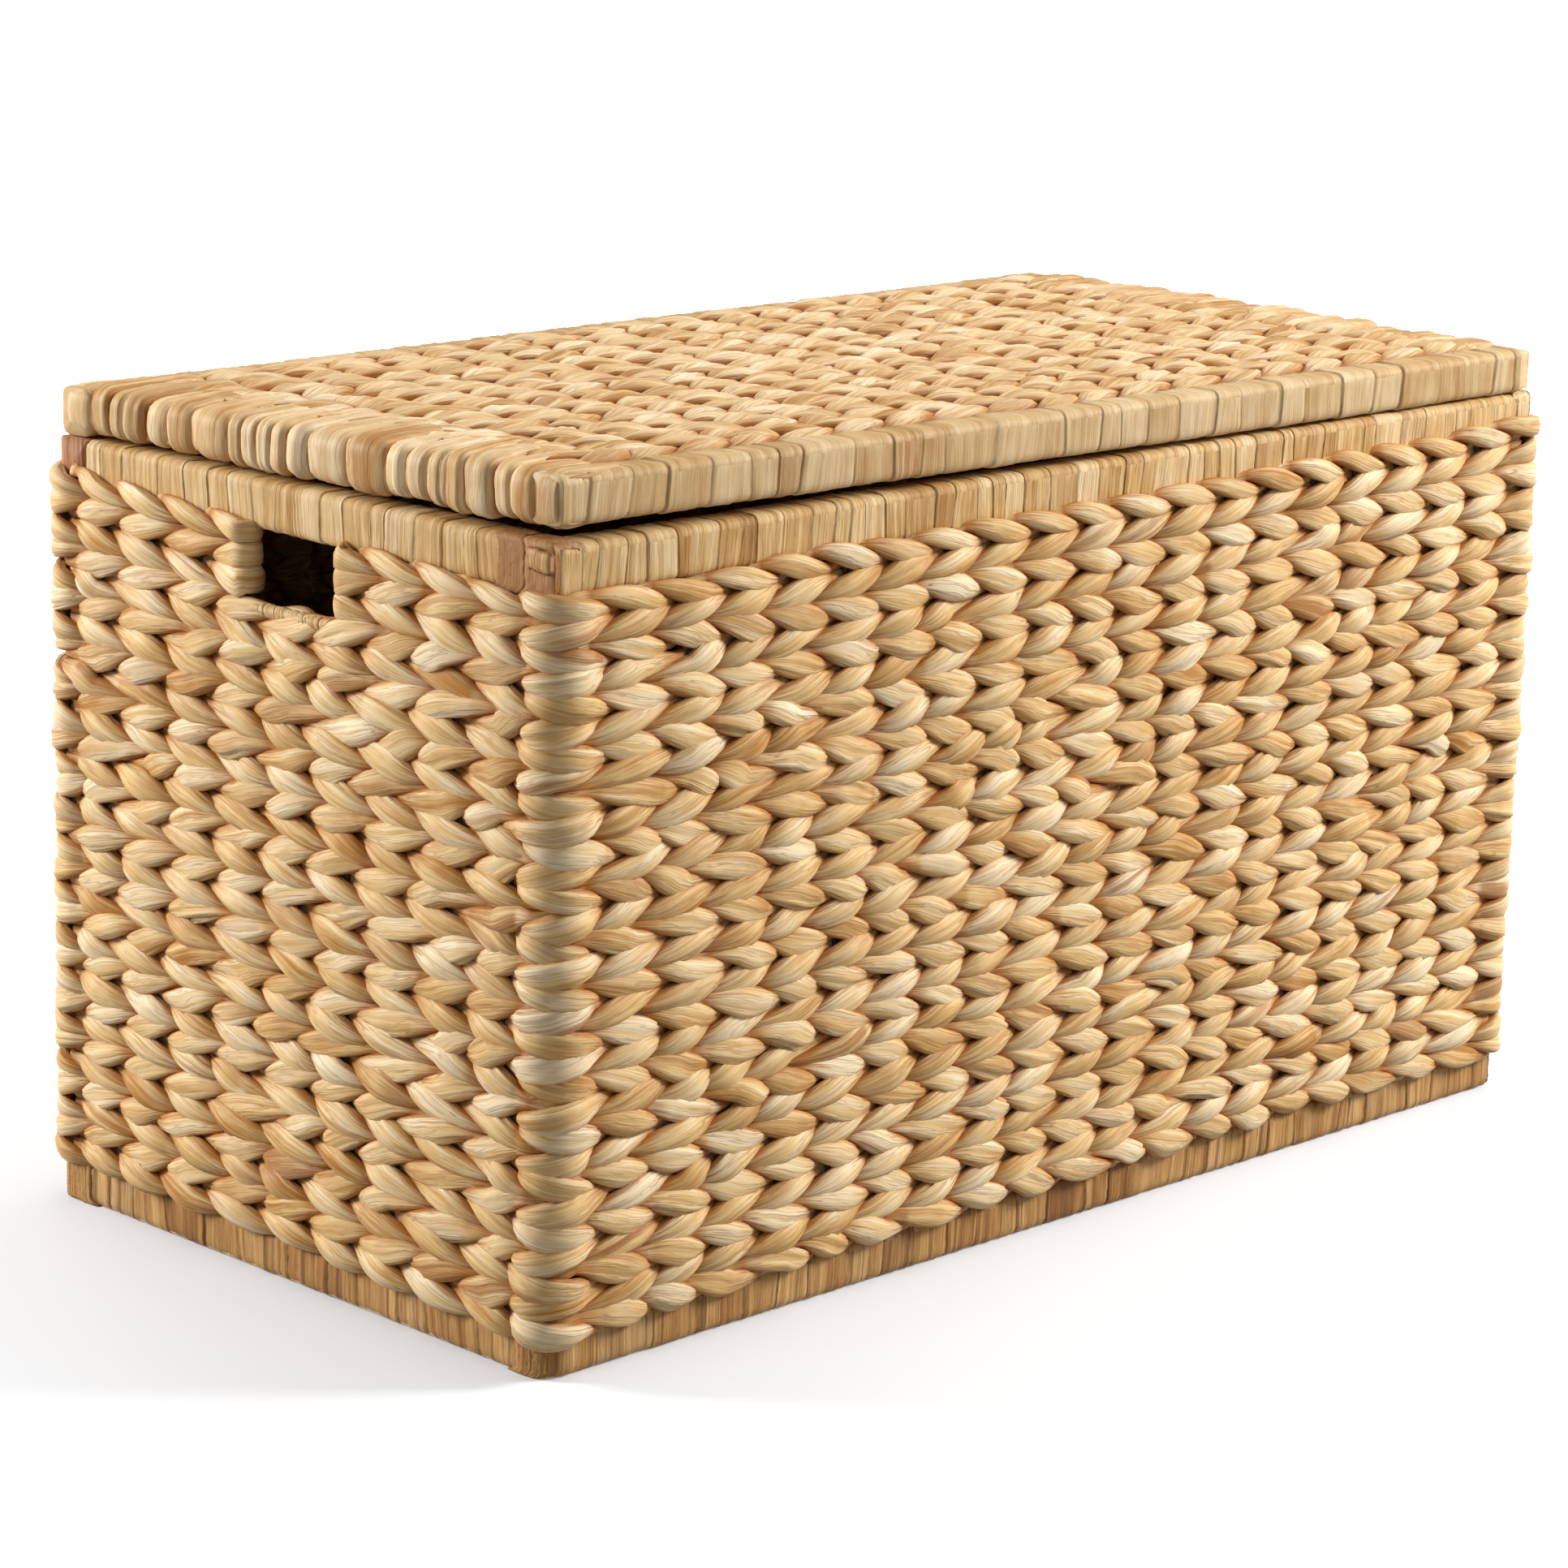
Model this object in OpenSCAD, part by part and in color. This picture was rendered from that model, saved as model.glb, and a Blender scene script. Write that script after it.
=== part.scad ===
// Rectangular woven hamper on a wrapped wooden frame, with a hinged lid.
// Length runs along X, depth along Y, height along Z. The front faces -Y and
// the hinges are on +Y. The origin is on the ground, under the middle.

/* [Frame] */
// Length of the wrapped frame, left to right
frame_l = 680; // [520:10:780]
// Depth of the wrapped frame, front to back
frame_d = 344; // [300:4:420]
// Height of the top of the rim above the ground
rim_top = 373; // [300:1:460]
// Thickness of a wrapped rail, seen from above
rail_t = 20; // [18:1:26]
// Height of the wrapped base rails
base_h = 22; // [18:1:28]
// Height of the wrapped rim rails
rim_h = 23; // [18:1:28]
// Thickness of the leaf wound round the base, rim and long lid rails
leaf_t = 1.2; // [0.8:0.1:1.6]

/* [Woven wall] */
// How far the weave stands out beyond the rails
bulge = 5.5; // [3:0.5:6]
// Thickness of the woven wall
wall_t = 13; // [10:0.5:14]
// Outer radius of the wall's upright corners
wall_r = 24; // [22:1:30]
// Spacing of the wire uprights along the front and back
front_pitch = 33; // [28:1:40]
// Spacing of the wire uprights along the short sides
side_pitch = 35; // [32:1:38]
// Radius of a wire upright
stake_r = 1.5; // [1:0.1:2]
// Radius of the round corner posts
post_r = 10; // [8:0.5:10]

/* [Finger holes] */
// Width of the finger hole in each short side
hole_w = 60; // [56:1:62]
// Height of the finger hole, from its sill rod to the rim
hole_h = 29; // [24:1:60]
// Radius of the wrapped sill rod
sill_r = 3; // [2.5:0.1:3.5]

/* [Floor] */
// Height of the underside of the floor slats
slat_z = 3; // [2:0.5:5]
// Thickness of the floor slats
slat_t = 8; // [6:0.5:8]
// Thickness of the woven floor
floor_t = 10; // [8:0.5:10]

/* [Lid] */
// Gap between the rim and the closed lid
lid_gap = 1; // [0.8:0.1:1.5]
// Height of the lid's rails
lid_h = 22; // [20:1:26]
// How much shorter the lid is than the rim at each end
lid_inset = 2; // [1:0.5:4]
// Width of the wrapped short rails of the lid
lid_end_t = 22; // [21:0.5:24]
// Thickness of the strands wound round the short lid rails
rope_t = 2.5; // [2:0.1:2.6]
// Bare length of the long lid rails at the right end
bare_end = 9; // [6:0.5:12]
// Thickness of the woven lid panel
panel_t = 11; // [9:0.5:12]
// How far the woven panel stands above the lid rails
panel_rise = 2; // [0.5:0.5:3]

/* [Hinges] */
// Distance of each hinge from the middle
hinge_x = 200; // [120:5:240]
// Width of a hinge
hinge_w = 40; // [36:1:50]
// Thickness of a hinge leaf
hinge_plate = 1.2; // [1:0.1:1.4]
// Outer radius of a hinge knuckle
knuckle_r = 2.6; // [2.4:0.1:2.6]
// Radius of a hinge pin
pin_r = 1.2; // [1:0.1:1.2]

/* [Hidden] */
$fn = 48;

// Rails: a square wooden core with leaf wound round it
core_t = rail_t - 2 * leaf_t;
rail_y = (frame_d - rail_t) / 2;
rail_x = (frame_l - rail_t) / 2;
core_inner_y = rail_y - core_t / 2;
core_inner_x = rail_x - core_t / 2;
wrap_inner_y = frame_d / 2 - rail_t;
wrap_inner_x = frame_l / 2 - rail_t;
edge_r = 2.5;
base_mid = base_h / 2;
rim_low = rim_top - rim_h;
rim_mid = rim_top - rim_h / 2;

// Wall: its outer face stands beyond the rails, with round corners
wall_h = rim_low - base_h;
wall_x = frame_l / 2 + bulge;
wall_y = frame_d / 2 + bulge;
corner_x = wall_x - wall_r;
corner_y = wall_y - wall_r;
stake_x = wall_x - wall_t / 2;
stake_y = wall_y - wall_t / 2;
end_margin = 20;
front_half = floor((corner_x - end_margin) / front_pitch);
side_half = floor((corner_y - end_margin / 2) / side_pitch);
hole_z = rim_low - hole_h;
sill_z = hole_z - sill_r;
sill_grip = 2;

// Nails: clearance holes are a little wider than the shank
nail_r = 1.4;
nail_head_r = 3;
nail_head_t = 1;
nail_play = 0.2;
corner_nail_x = rail_x + 2;
corner_nail_l = 45;
post_nail_offset = 4.5;
post_nail_l = 50;

// Floor
floor_low = slat_z + slat_t;
floor_mid = floor_low + floor_t / 2;
slat_w = 24;
slat_gap = 200;
floor_pitch = 33;
floor_half = floor((wrap_inner_x - end_margin / 2) / floor_pitch);
panel_stake_r = 1.25;

// Lid
lid_low = rim_top + lid_gap;
lid_mid = lid_low + lid_h / 2;
lid_half_l = frame_l / 2 - lid_inset;
lid_core_h = lid_h - 2 * leaf_t;
end_core_t = lid_end_t - 2 * rope_t;
end_core_h = lid_h - 2 * rope_t;
end_x = lid_half_l - lid_end_t / 2;
end_inner_x = lid_half_l - lid_end_t;
end_edge_r = 5;
lid_top = lid_low + lid_h + panel_rise;
panel_low = lid_top - panel_t;
panel_mid = lid_top - panel_t / 2;
batten_t = 7;
batten_w = 22;
batten_x = 150;
panel_half = floor((end_inner_x - end_margin / 2) / floor_pitch);

// Hinges: the axis lies between the rim and the lid, just behind the rails
axis_y = frame_d / 2 + knuckle_r + 0.2;
axis_z = rim_top + lid_gap / 2;
pin_play = 0.05;
leaf_h = 18;
leaf_notch = knuckle_r + 0.3;
knuckle_w = hinge_w / 4;
knuckle_play = 0.3;
pin_head_r = 2.2;
pin_head_t = 0.8;
screw_r = 1.1;
screw_play = 0.2;
screw_head_r = 2.4;
screw_head_t = 0.8;
screw_l = 14;
screw_x = hinge_w / 2 - 7;
screw_drop = 11;

// Colours
leaf_colour = [0.87, 0.76, 0.57];
base_colour = [0.74, 0.58, 0.38];
weave_colour = [0.90, 0.78, 0.58];
wood_colour = [0.84, 0.68, 0.46];
rattan_colour = [0.78, 0.60, 0.38];
wire_colour = [0.48, 0.42, 0.34];
steel_colour = [0.62, 0.60, 0.56];

// ---------- shared shapes ----------

module rounded_rect(w, h, r) {
  square([w - 2 * r, h], center = true);
  square([w, h - 2 * r], center = true);
  for (sx = [-1, 1], sy = [-1, 1])
    translate([sx * (w / 2 - r), sy * (h / 2 - r)]) circle(r);
}

module along_x(length) {
  rotate([90, 0, 90]) linear_extrude(length, center = true) children();
}

module along_y(length) {
  rotate([90, 0, 0]) linear_extrude(length, center = true) children();
}

// Section of a wound sleeve that fits a rectangular core
module sleeve_section(w, h, wall, r) {
  difference() {
    rounded_rect(w, h, r);
    square([w - 2 * wall, h - 2 * wall], center = true);
  }
}

module at_corners(x, y) {
  for (sx = [-1, 1], sy = [-1, 1]) translate([sx * x, sy * y, 0]) children();
}

// A nail along +Z whose head starts at z = 0; play widens it into a hole
module nail(length, play = 0) {
  cylinder(r = nail_head_r + play, h = nail_head_t);
  cylinder(r = nail_r + play, h = length);
}

// Nails that join each long rail to the ends of the short rails
module corner_nails(x, z, play = 0) {
  head_y = rail_y + core_t / 2;
  for (sx = [-1, 1], sy = [-1, 1])
    translate([sx * x, sy * head_y, z]) rotate([sy * 90, 0, 0])
      nail(corner_nail_l, play);
}

// Upright nails from the rails into the ends of the corner posts
module post_nail_set(play = 0) {
  at_corners(corner_x + post_nail_offset, corner_y + post_nail_offset) {
    translate([0, 0, leaf_t]) nail(post_nail_l, play);
    translate([0, 0, rim_top - leaf_t]) mirror([0, 0, 1]) nail(post_nail_l, play);
  }
}

// Hinge screws; up is 1 for the lid's leaf and -1 for the rim's leaf
module hinge_screw_set(up, play = 0) {
  for (side = [-1, 1], sx = [-1, 1])
    translate([side * hinge_x + sx * screw_x, frame_d / 2 + hinge_plate, axis_z + up * screw_drop])
      rotate([90, 0, 0]) {
        translate([0, 0, -screw_head_t]) cylinder(r = screw_head_r, h = screw_head_t);
        cylinder(r = screw_r + play, h = screw_l);
      }
}

// ---------- wooden rails ----------

module long_rail(side, half_l, z, h, nail_x) {
  color(wood_colour) difference() {
    translate([0, side * rail_y, z]) cube([2 * half_l, core_t, h], center = true);
    corner_nails(nail_x, z, nail_play);
    post_nail_set(nail_play);
    hinge_screw_set(1, screw_play);
    hinge_screw_set(-1, screw_play);
  }
}

module short_rail(side, x, w, z, h, nail_x) {
  color(wood_colour) difference() {
    translate([side * x, 0, z]) cube([w, 2 * core_inner_y, h], center = true);
    corner_nails(nail_x, z, nail_play);
  }
}

module base_rail_long(side) long_rail(side, frame_l / 2, base_mid, base_h - 2 * leaf_t, corner_nail_x);
module base_rail_short(side)
  short_rail(side, rail_x, core_t, base_mid, base_h - 2 * leaf_t, corner_nail_x);
module rim_rail_long(side) long_rail(side, frame_l / 2, rim_mid, rim_h - 2 * leaf_t, corner_nail_x);
module rim_rail_short(side)
  short_rail(side, rail_x, core_t, rim_mid, rim_h - 2 * leaf_t, corner_nail_x);
module lid_rail_long(side) long_rail(side, lid_half_l, lid_mid, lid_core_h, end_x);
module lid_rail_short(side) short_rail(side, end_x, end_core_t, lid_mid, end_core_h, end_x);

// ---------- leaf wound round the rails ----------

// The short rails' cores pass through the inner face of a long rail's wrap
module short_core_passages(x, w, z, h) {
  for (sx = [-1, 1]) translate([sx * x, 0, z]) cube([w, 2 * core_inner_y, h], center = true);
}

module long_wrap(side, z, h) {
  difference() {
    translate([0, side * rail_y, z]) along_x(frame_l) sleeve_section(rail_t, h, leaf_t, edge_r);
    short_core_passages(rail_x, core_t, z, h - 2 * leaf_t);
    post_nail_set(nail_play);
    hinge_screw_set(-1, screw_play);
  }
}

module short_wrap(side, z, h) {
  translate([side * rail_x, 0, z]) along_y(2 * wrap_inner_y)
    sleeve_section(rail_t, h, leaf_t, edge_r);
}

module lid_wrap_long(side) {
  wrap_l = 2 * lid_half_l - bare_end;
  color(leaf_colour) difference() {
    translate([-bare_end / 2, side * rail_y, lid_mid]) along_x(wrap_l)
      sleeve_section(rail_t, lid_h, leaf_t, edge_r);
    short_core_passages(end_x, end_core_t, lid_mid, end_core_h);
    hinge_screw_set(1, screw_play);
  }
}

module lid_wrap_short(side) {
  color(weave_colour) translate([side * end_x, 0, lid_mid]) along_y(2 * wrap_inner_y)
    sleeve_section(lid_end_t, lid_h, rope_t, end_edge_r);
}

// ---------- nails ----------

module base_nails() { color(steel_colour) corner_nails(corner_nail_x, base_mid); }
module rim_nails() { color(steel_colour) corner_nails(corner_nail_x, rim_mid); }
module lid_nails() { color(steel_colour) corner_nails(end_x, lid_mid); }
module post_nails() { color(steel_colour) post_nail_set(); }

// ---------- posts, stakes and wall ----------

module corner_post(sx, sy) {
  color(rattan_colour) difference() {
    translate([sx * corner_x, sy * corner_y, base_h]) cylinder(r = post_r, h = wall_h);
    post_nail_set(nail_play);
  }
}

module stake(height) { color(wire_colour) cylinder(r = stake_r, h = height); }

module wall_stakes_long(side) {
  for (i = [-front_half : front_half])
    translate([i * front_pitch, side * stake_y, base_h]) stake(wall_h);
}

// The middle stake of a short side stops under the finger hole's sill
module wall_stakes_short(side) {
  for (i = [-side_half : side_half])
    translate([side * stake_x, i * side_pitch, base_h])
      stake(i == 0 ? sill_z - sill_r - base_h : wall_h);
}

// A long wall with the quarter rounds at both of its ends
module wall_weave_long(side) {
  color(weave_colour) translate([0, 0, base_h]) linear_extrude(wall_h) {
    translate([0, side * stake_y]) square([2 * corner_x, wall_t], center = true);
    for (sx = [-1, 1]) intersection() {
      translate([sx * corner_x, side * corner_y]) difference() {
        circle(wall_r);
        circle(wall_r - wall_t);
      }
      translate([sx * (corner_x + wall_r / 2), side * (corner_y + wall_r / 2)])
        square(wall_r, center = true);
    }
  }
}

module wall_weave_short(side) {
  color(weave_colour) difference() {
    translate([side * stake_x, 0, base_h + wall_h / 2])
      cube([wall_t, 2 * corner_y, wall_h], center = true);
    translate([side * stake_x, 0, rim_low])
      cube([2 * wall_t, hole_w, 2 * (rim_low - sill_z + sill_r)], center = true);
  }
}

module finger_hole_sill(side) {
  color(leaf_colour) translate([side * stake_x, 0, sill_z]) rotate([90, 0, 0])
    cylinder(r = sill_r, h = hole_w + 2 * sill_grip, center = true);
}

// ---------- floor ----------

module floor_slats() {
  color(wood_colour) for (i = [-1 : 1])
    translate([i * slat_gap, 0, slat_z + slat_t / 2])
      cube([slat_w, 2 * wrap_inner_y, slat_t], center = true);
}

module panel_stakes(half_count, z) {
  color(wire_colour) for (i = [-half_count : half_count])
    translate([i * floor_pitch, 0, z]) rotate([90, 0, 0])
      cylinder(r = panel_stake_r, h = 2 * wrap_inner_y, center = true);
}

module floor_stakes() { panel_stakes(floor_half, floor_mid); }

module floor_weave() {
  color(weave_colour) translate([0, 0, floor_mid])
    cube([2 * wrap_inner_x, 2 * wrap_inner_y, floor_t], center = true);
}

// ---------- lid panel ----------

module lid_battens() {
  color(wood_colour) for (sx = [-1, 1])
    translate([sx * batten_x, 0, panel_low - batten_t / 2])
      cube([batten_w, 2 * wrap_inner_y, batten_t], center = true);
}

module lid_stakes() { panel_stakes(panel_half, panel_mid); }

module lid_weave() {
  color(weave_colour) translate([0, 0, panel_mid])
    cube([2 * end_inner_x, 2 * wrap_inner_y, panel_t], center = true);
}

// ---------- hinges ----------

module hinge_barrel(x0, x1) {
  translate([x0, axis_y, axis_z]) rotate([0, 90, 0]) cylinder(r = knuckle_r, h = x1 - x0);
}

module hinge_plate_at(x0, x1, z0, z1) {
  translate([x0, frame_d / 2, z0]) cube([x1 - x0, hinge_plate, z1 - z0]);
}

module pin_bore() {
  translate([-hinge_w, axis_y, axis_z]) rotate([0, 90, 0])
    cylinder(r = pin_r + pin_play, h = 2 * hinge_w);
}

// The leaf on the rim carries the two outer knuckles
module hinge_fixed_leaves() {
  color(steel_colour) difference() {
    for (side = [-1, 1]) translate([side * hinge_x, 0, 0]) difference() {
      union() {
        hinge_plate_at(-hinge_w / 2, hinge_w / 2, axis_z - leaf_h, axis_z - leaf_notch);
        for (sx = [-1, 1]) {
          x0 = sx < 0 ? -hinge_w / 2 : hinge_w / 2 - knuckle_w;
          hinge_barrel(x0, x0 + knuckle_w);
          hinge_plate_at(x0, x0 + knuckle_w, axis_z - leaf_h, axis_z);
        }
      }
      pin_bore();
    }
    hinge_screw_set(-1, screw_play);
  }
}

// The leaf on the lid carries the middle knuckle
module hinge_moving_leaves() {
  half_w = hinge_w / 2 - knuckle_w - knuckle_play;
  color(steel_colour) difference() {
    for (side = [-1, 1]) translate([side * hinge_x, 0, 0]) difference() {
      union() {
        hinge_plate_at(-hinge_w / 2, hinge_w / 2, axis_z + leaf_notch, axis_z + leaf_h);
        hinge_barrel(-half_w, half_w);
        hinge_plate_at(-half_w, half_w, axis_z, axis_z + leaf_h);
      }
      pin_bore();
    }
    hinge_screw_set(1, screw_play);
  }
}

module hinge_pins() {
  color(steel_colour) for (side = [-1, 1])
    translate([side * hinge_x, axis_y, axis_z]) rotate([0, 90, 0]) {
      cylinder(r = pin_r, h = hinge_w, center = true);
      for (sx = [-1, 1]) translate([0, 0, sx * (hinge_w + pin_head_t) / 2])
        cylinder(r = pin_head_r, h = pin_head_t, center = true);
    }
}

module hinge_screws_rim() { color(steel_colour) hinge_screw_set(-1); }
module hinge_screws_lid() { color(steel_colour) hinge_screw_set(1); }

// ---------- nodes ----------

base_rail_long(-1);  // base_rail_front
base_rail_long(1);  // base_rail_back
base_rail_short(-1);  // base_rail_left
base_rail_short(1);  // base_rail_right
color(base_colour) long_wrap(-1, base_mid, base_h);  // base_wrap_front
color(base_colour) long_wrap(1, base_mid, base_h);  // base_wrap_back
color(base_colour) short_wrap(-1, base_mid, base_h);  // base_wrap_left
color(base_colour) short_wrap(1, base_mid, base_h);  // base_wrap_right
base_nails();
rim_rail_long(-1);  // rim_rail_front
rim_rail_long(1);  // rim_rail_back
rim_rail_short(-1);  // rim_rail_left
rim_rail_short(1);  // rim_rail_right
color(leaf_colour) long_wrap(-1, rim_mid, rim_h);  // rim_wrap_front
color(leaf_colour) long_wrap(1, rim_mid, rim_h);  // rim_wrap_back
color(leaf_colour) short_wrap(-1, rim_mid, rim_h);  // rim_wrap_left
color(leaf_colour) short_wrap(1, rim_mid, rim_h);  // rim_wrap_right
rim_nails();
corner_post(-1, -1);  // corner_post_front_left
corner_post(1, -1);  // corner_post_front_right
corner_post(-1, 1);  // corner_post_back_left
corner_post(1, 1);  // corner_post_back_right
post_nails();
wall_stakes_long(-1);  // wall_stakes_front
wall_stakes_long(1);  // wall_stakes_back
wall_stakes_short(-1);  // wall_stakes_left
wall_stakes_short(1);  // wall_stakes_right
wall_weave_long(-1);  // wall_weave_front
wall_weave_long(1);  // wall_weave_back
wall_weave_short(-1);  // wall_weave_left
wall_weave_short(1);  // wall_weave_right
finger_hole_sill(-1);  // finger_hole_sill_left
finger_hole_sill(1);  // finger_hole_sill_right
floor_slats();
floor_stakes();
floor_weave();
lid_rail_long(-1);  // lid_rail_front
lid_rail_long(1);  // lid_rail_back
lid_rail_short(-1);  // lid_rail_left
lid_rail_short(1);  // lid_rail_right
lid_wrap_long(-1);  // lid_wrap_front
lid_wrap_long(1);  // lid_wrap_back
lid_wrap_short(-1);  // lid_wrap_left
lid_wrap_short(1);  // lid_wrap_right
lid_nails();
lid_battens();
lid_stakes();
lid_weave();
hinge_fixed_leaves();
hinge_moving_leaves();
hinge_pins();
hinge_screws_rim();
hinge_screws_lid();
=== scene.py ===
"""The looks of a lidded woven hamper: plant strands twined round wire uprights, on a wooden frame
wound with leaf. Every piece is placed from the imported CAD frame, in metres."""
import math

import bpy
import numpy as np
from mathutils import Matrix, Vector


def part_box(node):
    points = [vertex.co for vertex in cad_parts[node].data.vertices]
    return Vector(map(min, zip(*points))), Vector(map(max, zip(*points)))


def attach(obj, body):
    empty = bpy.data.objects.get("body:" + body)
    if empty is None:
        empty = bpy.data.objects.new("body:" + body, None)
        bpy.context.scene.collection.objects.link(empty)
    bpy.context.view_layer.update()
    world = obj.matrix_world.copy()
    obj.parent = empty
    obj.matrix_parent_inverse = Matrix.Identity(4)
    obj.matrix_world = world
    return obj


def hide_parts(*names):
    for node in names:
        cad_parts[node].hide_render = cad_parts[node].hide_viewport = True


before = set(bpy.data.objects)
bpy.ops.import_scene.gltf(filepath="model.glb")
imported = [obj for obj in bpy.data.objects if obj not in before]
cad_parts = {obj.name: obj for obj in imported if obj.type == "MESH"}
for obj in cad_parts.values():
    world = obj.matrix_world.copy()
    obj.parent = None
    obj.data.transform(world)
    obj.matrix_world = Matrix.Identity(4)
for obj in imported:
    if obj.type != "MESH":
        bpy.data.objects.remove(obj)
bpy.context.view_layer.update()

HAMPER, LID = "hamper", "lid"
SIDES = ("front", "back", "left", "right")
X, Y, Z = np.eye(3)

# The weave: its courses, the gaps between uprights, the courses beside a finger hole, and the rows of
# a flat panel
COURSES = 31
FRONT_GAPS = 18
SIDE_GAPS = 8
HOLE_COURSES = 3
PANEL_ROWS = 28

# A strand of the weave: its half sizes at the middle of a lobe, their share left where it crosses the
# other strand, the share of a turn that it spends outside, how far its lobes wander along the course
# in gaps, and how far it swings outwards, inwards and up
STRAND_W = 0.0068
STRAND_T = 0.0037
PINCH_W = 0.36
PINCH_T = 0.82
OUTSIDE_SHARE = 0.63
WANDER = 0.14
SWING_OUT = 0.0045
SWING_IN = 0.0038
SWING_UP = 0.0033
STRAND_TILT = 0.35

# How much painted shade lies along the edges of a strand, where the courses meet, from 0 to 1, and how
# square its section is
EDGE_SHADE = 0.70
STRAND_SQUARE = 0.78

# How far a strand goes past the upright that it turns back round
FRONT_REACH = 0.0008
BACK_REACH = 0.0034

# How far from a rail's end its winding comes square, and how small the last ring of a tube is
SQUARE_END = 0.02
LIP_SHARE = 0.02

# The wall's plan: the turn at a corner, and how much the strands pile up there
WALL_CORNER = 0.016
CORNER_SWELL = 0.0045

# How far the top course climbs over the rim and the lowest one droops over the base, by upright number,
# how far the courses under a finger hole dip, and the size of the top two courses' strands
TOP_CLIMB = ((0, 0.003), (8, 0.006), (10, 0.010), (13, 0.005), (18, 0.002), (20, 0.0012), (24, 0.0025),
             (30, 0.0042), (37, 0.0075), (40, 0.0105), (45, 0.0045), (50, 0.006), (60, 0.003))
FOOT_DROOP = ((0, 0.0), (10, -0.001), (15, 0.0), (18, -0.002), (20, -0.0065), (22, -0.003), (26, 0.0),
              (37, -0.001), (40, -0.005), (43, 0.0), (50, -0.003), (60, 0.0))
HOLE_DIP = 0.0048
TOP_SIZES = {1: 0.66, 2: 0.94}

# The lid: how far its front left corner stands off the rim, how far the strands over its left end go
# past that rail's ends, how wide the first of them are, and its battens' width
LID_LIFT = 0.007
CORNER_STRANDS = 0.0182
FIRST_STRANDS = (0.0135, 0.0165)
BATTEN_W = 0.022

# The frames' corners, from above: the base's at its front left and elsewhere, and the rim's
BASE_CORNERS = (0.014, 0.005)
RIM_CORNERS = (0.004, 0.004)

# Gaps under the base and at the ends of the wood, and the length of rim that is left unwound. What
# would lie under the gap keeps a share of its depth, so that no two faces share one plane.
FLOOR_GAP = 0.0003
DEPTH_SHARE = 0.12
END_GAP = 0.0008
BARE_END = 0.019

# Leaf over the ends of the long rails: its width from the corner, its strips' widths, its thickness
# and its tone. The one at the rim's front left corner is wide, thick and dark.
BASE_COVER = (0.020, (0.007, 0.012), 0.0010, (0.45, 0.2, 0.0, 0.0))
RIM_COVER = (0.020, (0.008, 0.014), 0.0008, (0.45, 0.2, 0.0, 0.2))
NEAR_COVER = (0.037, (0.016, 0.021), 0.0014, (0.0, 0.2, 0.72, 1.0))

# The knot's two folds: place along the side, width, drop from the rim's top and how far they stand out
KNOT = ((0.0050, 0.0090, 0.0030, 0.0036), (0.0118, 0.0085, 0.0024, 0.0032))
KNOT_H = 0.0078

# The rods under the finger holes, moved a little out and down from their CAD place
SILL_OUT = 0.003
SILL_UP = -0.0032


def box(node):
    """Lowest and highest corner of a CAD node, as arrays."""
    low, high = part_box(node)
    return np.array(low), np.array(high)


def middle(node):
    low, high = box(node)
    return (low + high) / 2


# ---------- meshes ----------

class Surface:
    """Gathers grids of points into one mesh. The fibre attribute holds, at each face corner, the
    distance along a fibre, the distance across the fibres and a number for the strand; tone holds
    brightness, redness, painted shade, which is greatest where strands cross, and greyness."""

    def __init__(self):
        self.points, self.faces, self.fibres, self.tones = [], [], [], []
        self.count = 0

    def grid(self, points, fibre, tone, ring=False, loop=False):
        """Adds rows of points. ring joins the last column to the first and loop the last row to the
        first; fibre then has one more column or row than points."""
        rows, columns = points.shape[:2]
        index = np.arange(rows * columns).reshape(rows, columns) + self.count
        index = np.vstack([index, index[:1]]) if loop else index
        index = np.hstack([index, index[:, :1]]) if ring else index
        self.points.append(points.reshape(-1, 3))
        self.tones.append(np.broadcast_to(tone, (rows, columns, 4)).reshape(-1, 4))
        self.count += rows * columns
        corners = ((slice(None, -1), slice(None, -1)), (slice(1, None), slice(None, -1)),
                   (slice(1, None), slice(1, None)), (slice(None, -1), slice(1, None)))
        self.faces.append(np.stack([index[c] for c in corners], -1).reshape(-1, 4))
        self.fibres.append(np.stack([fibre[c] for c in corners], -2).reshape(-1, 3))

    def tube(self, points, fibre, tone, loop=False):
        """Adds a tube that either joins up with its start or is closed at its ends."""
        if not loop:
            points, fibre, tone = close_ends(points, fibre, tone)
        self.grid(points, fibre, tone, ring=True, loop=loop)

    def build(self, name, body, material, replaced=()):
        """Makes the mesh object, which rides on a CAD body and stands for the replaced nodes."""
        points = np.concatenate(self.points)
        faces = np.concatenate(self.faces)
        mesh = bpy.data.meshes.new(name)
        mesh.vertices.add(len(points))
        mesh.vertices.foreach_set("co", points.astype(np.float32).ravel())
        mesh.loops.add(faces.size)
        mesh.loops.foreach_set("vertex_index", faces.astype(np.int32).ravel())
        mesh.polygons.add(len(faces))
        mesh.polygons.foreach_set("loop_start", np.arange(0, faces.size, 4, dtype=np.int32))
        mesh.update(calc_edges=True)
        mesh.polygons.foreach_set("use_smooth", np.ones(len(faces), bool))
        fibre = mesh.attributes.new("fibre", "FLOAT_VECTOR", "CORNER")
        fibre.data.foreach_set("vector", np.concatenate(self.fibres).astype(np.float32).ravel())
        tone = mesh.attributes.new("tone", "FLOAT_COLOR", "POINT")
        tone.data.foreach_set("color", np.concatenate(self.tones).astype(np.float32).ravel())
        mesh.materials.append(material)
        piece = bpy.data.objects.new(name, mesh)
        bpy.context.scene.collection.objects.link(piece)
        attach(piece, body)
        if replaced:
            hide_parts(*replaced)


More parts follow.
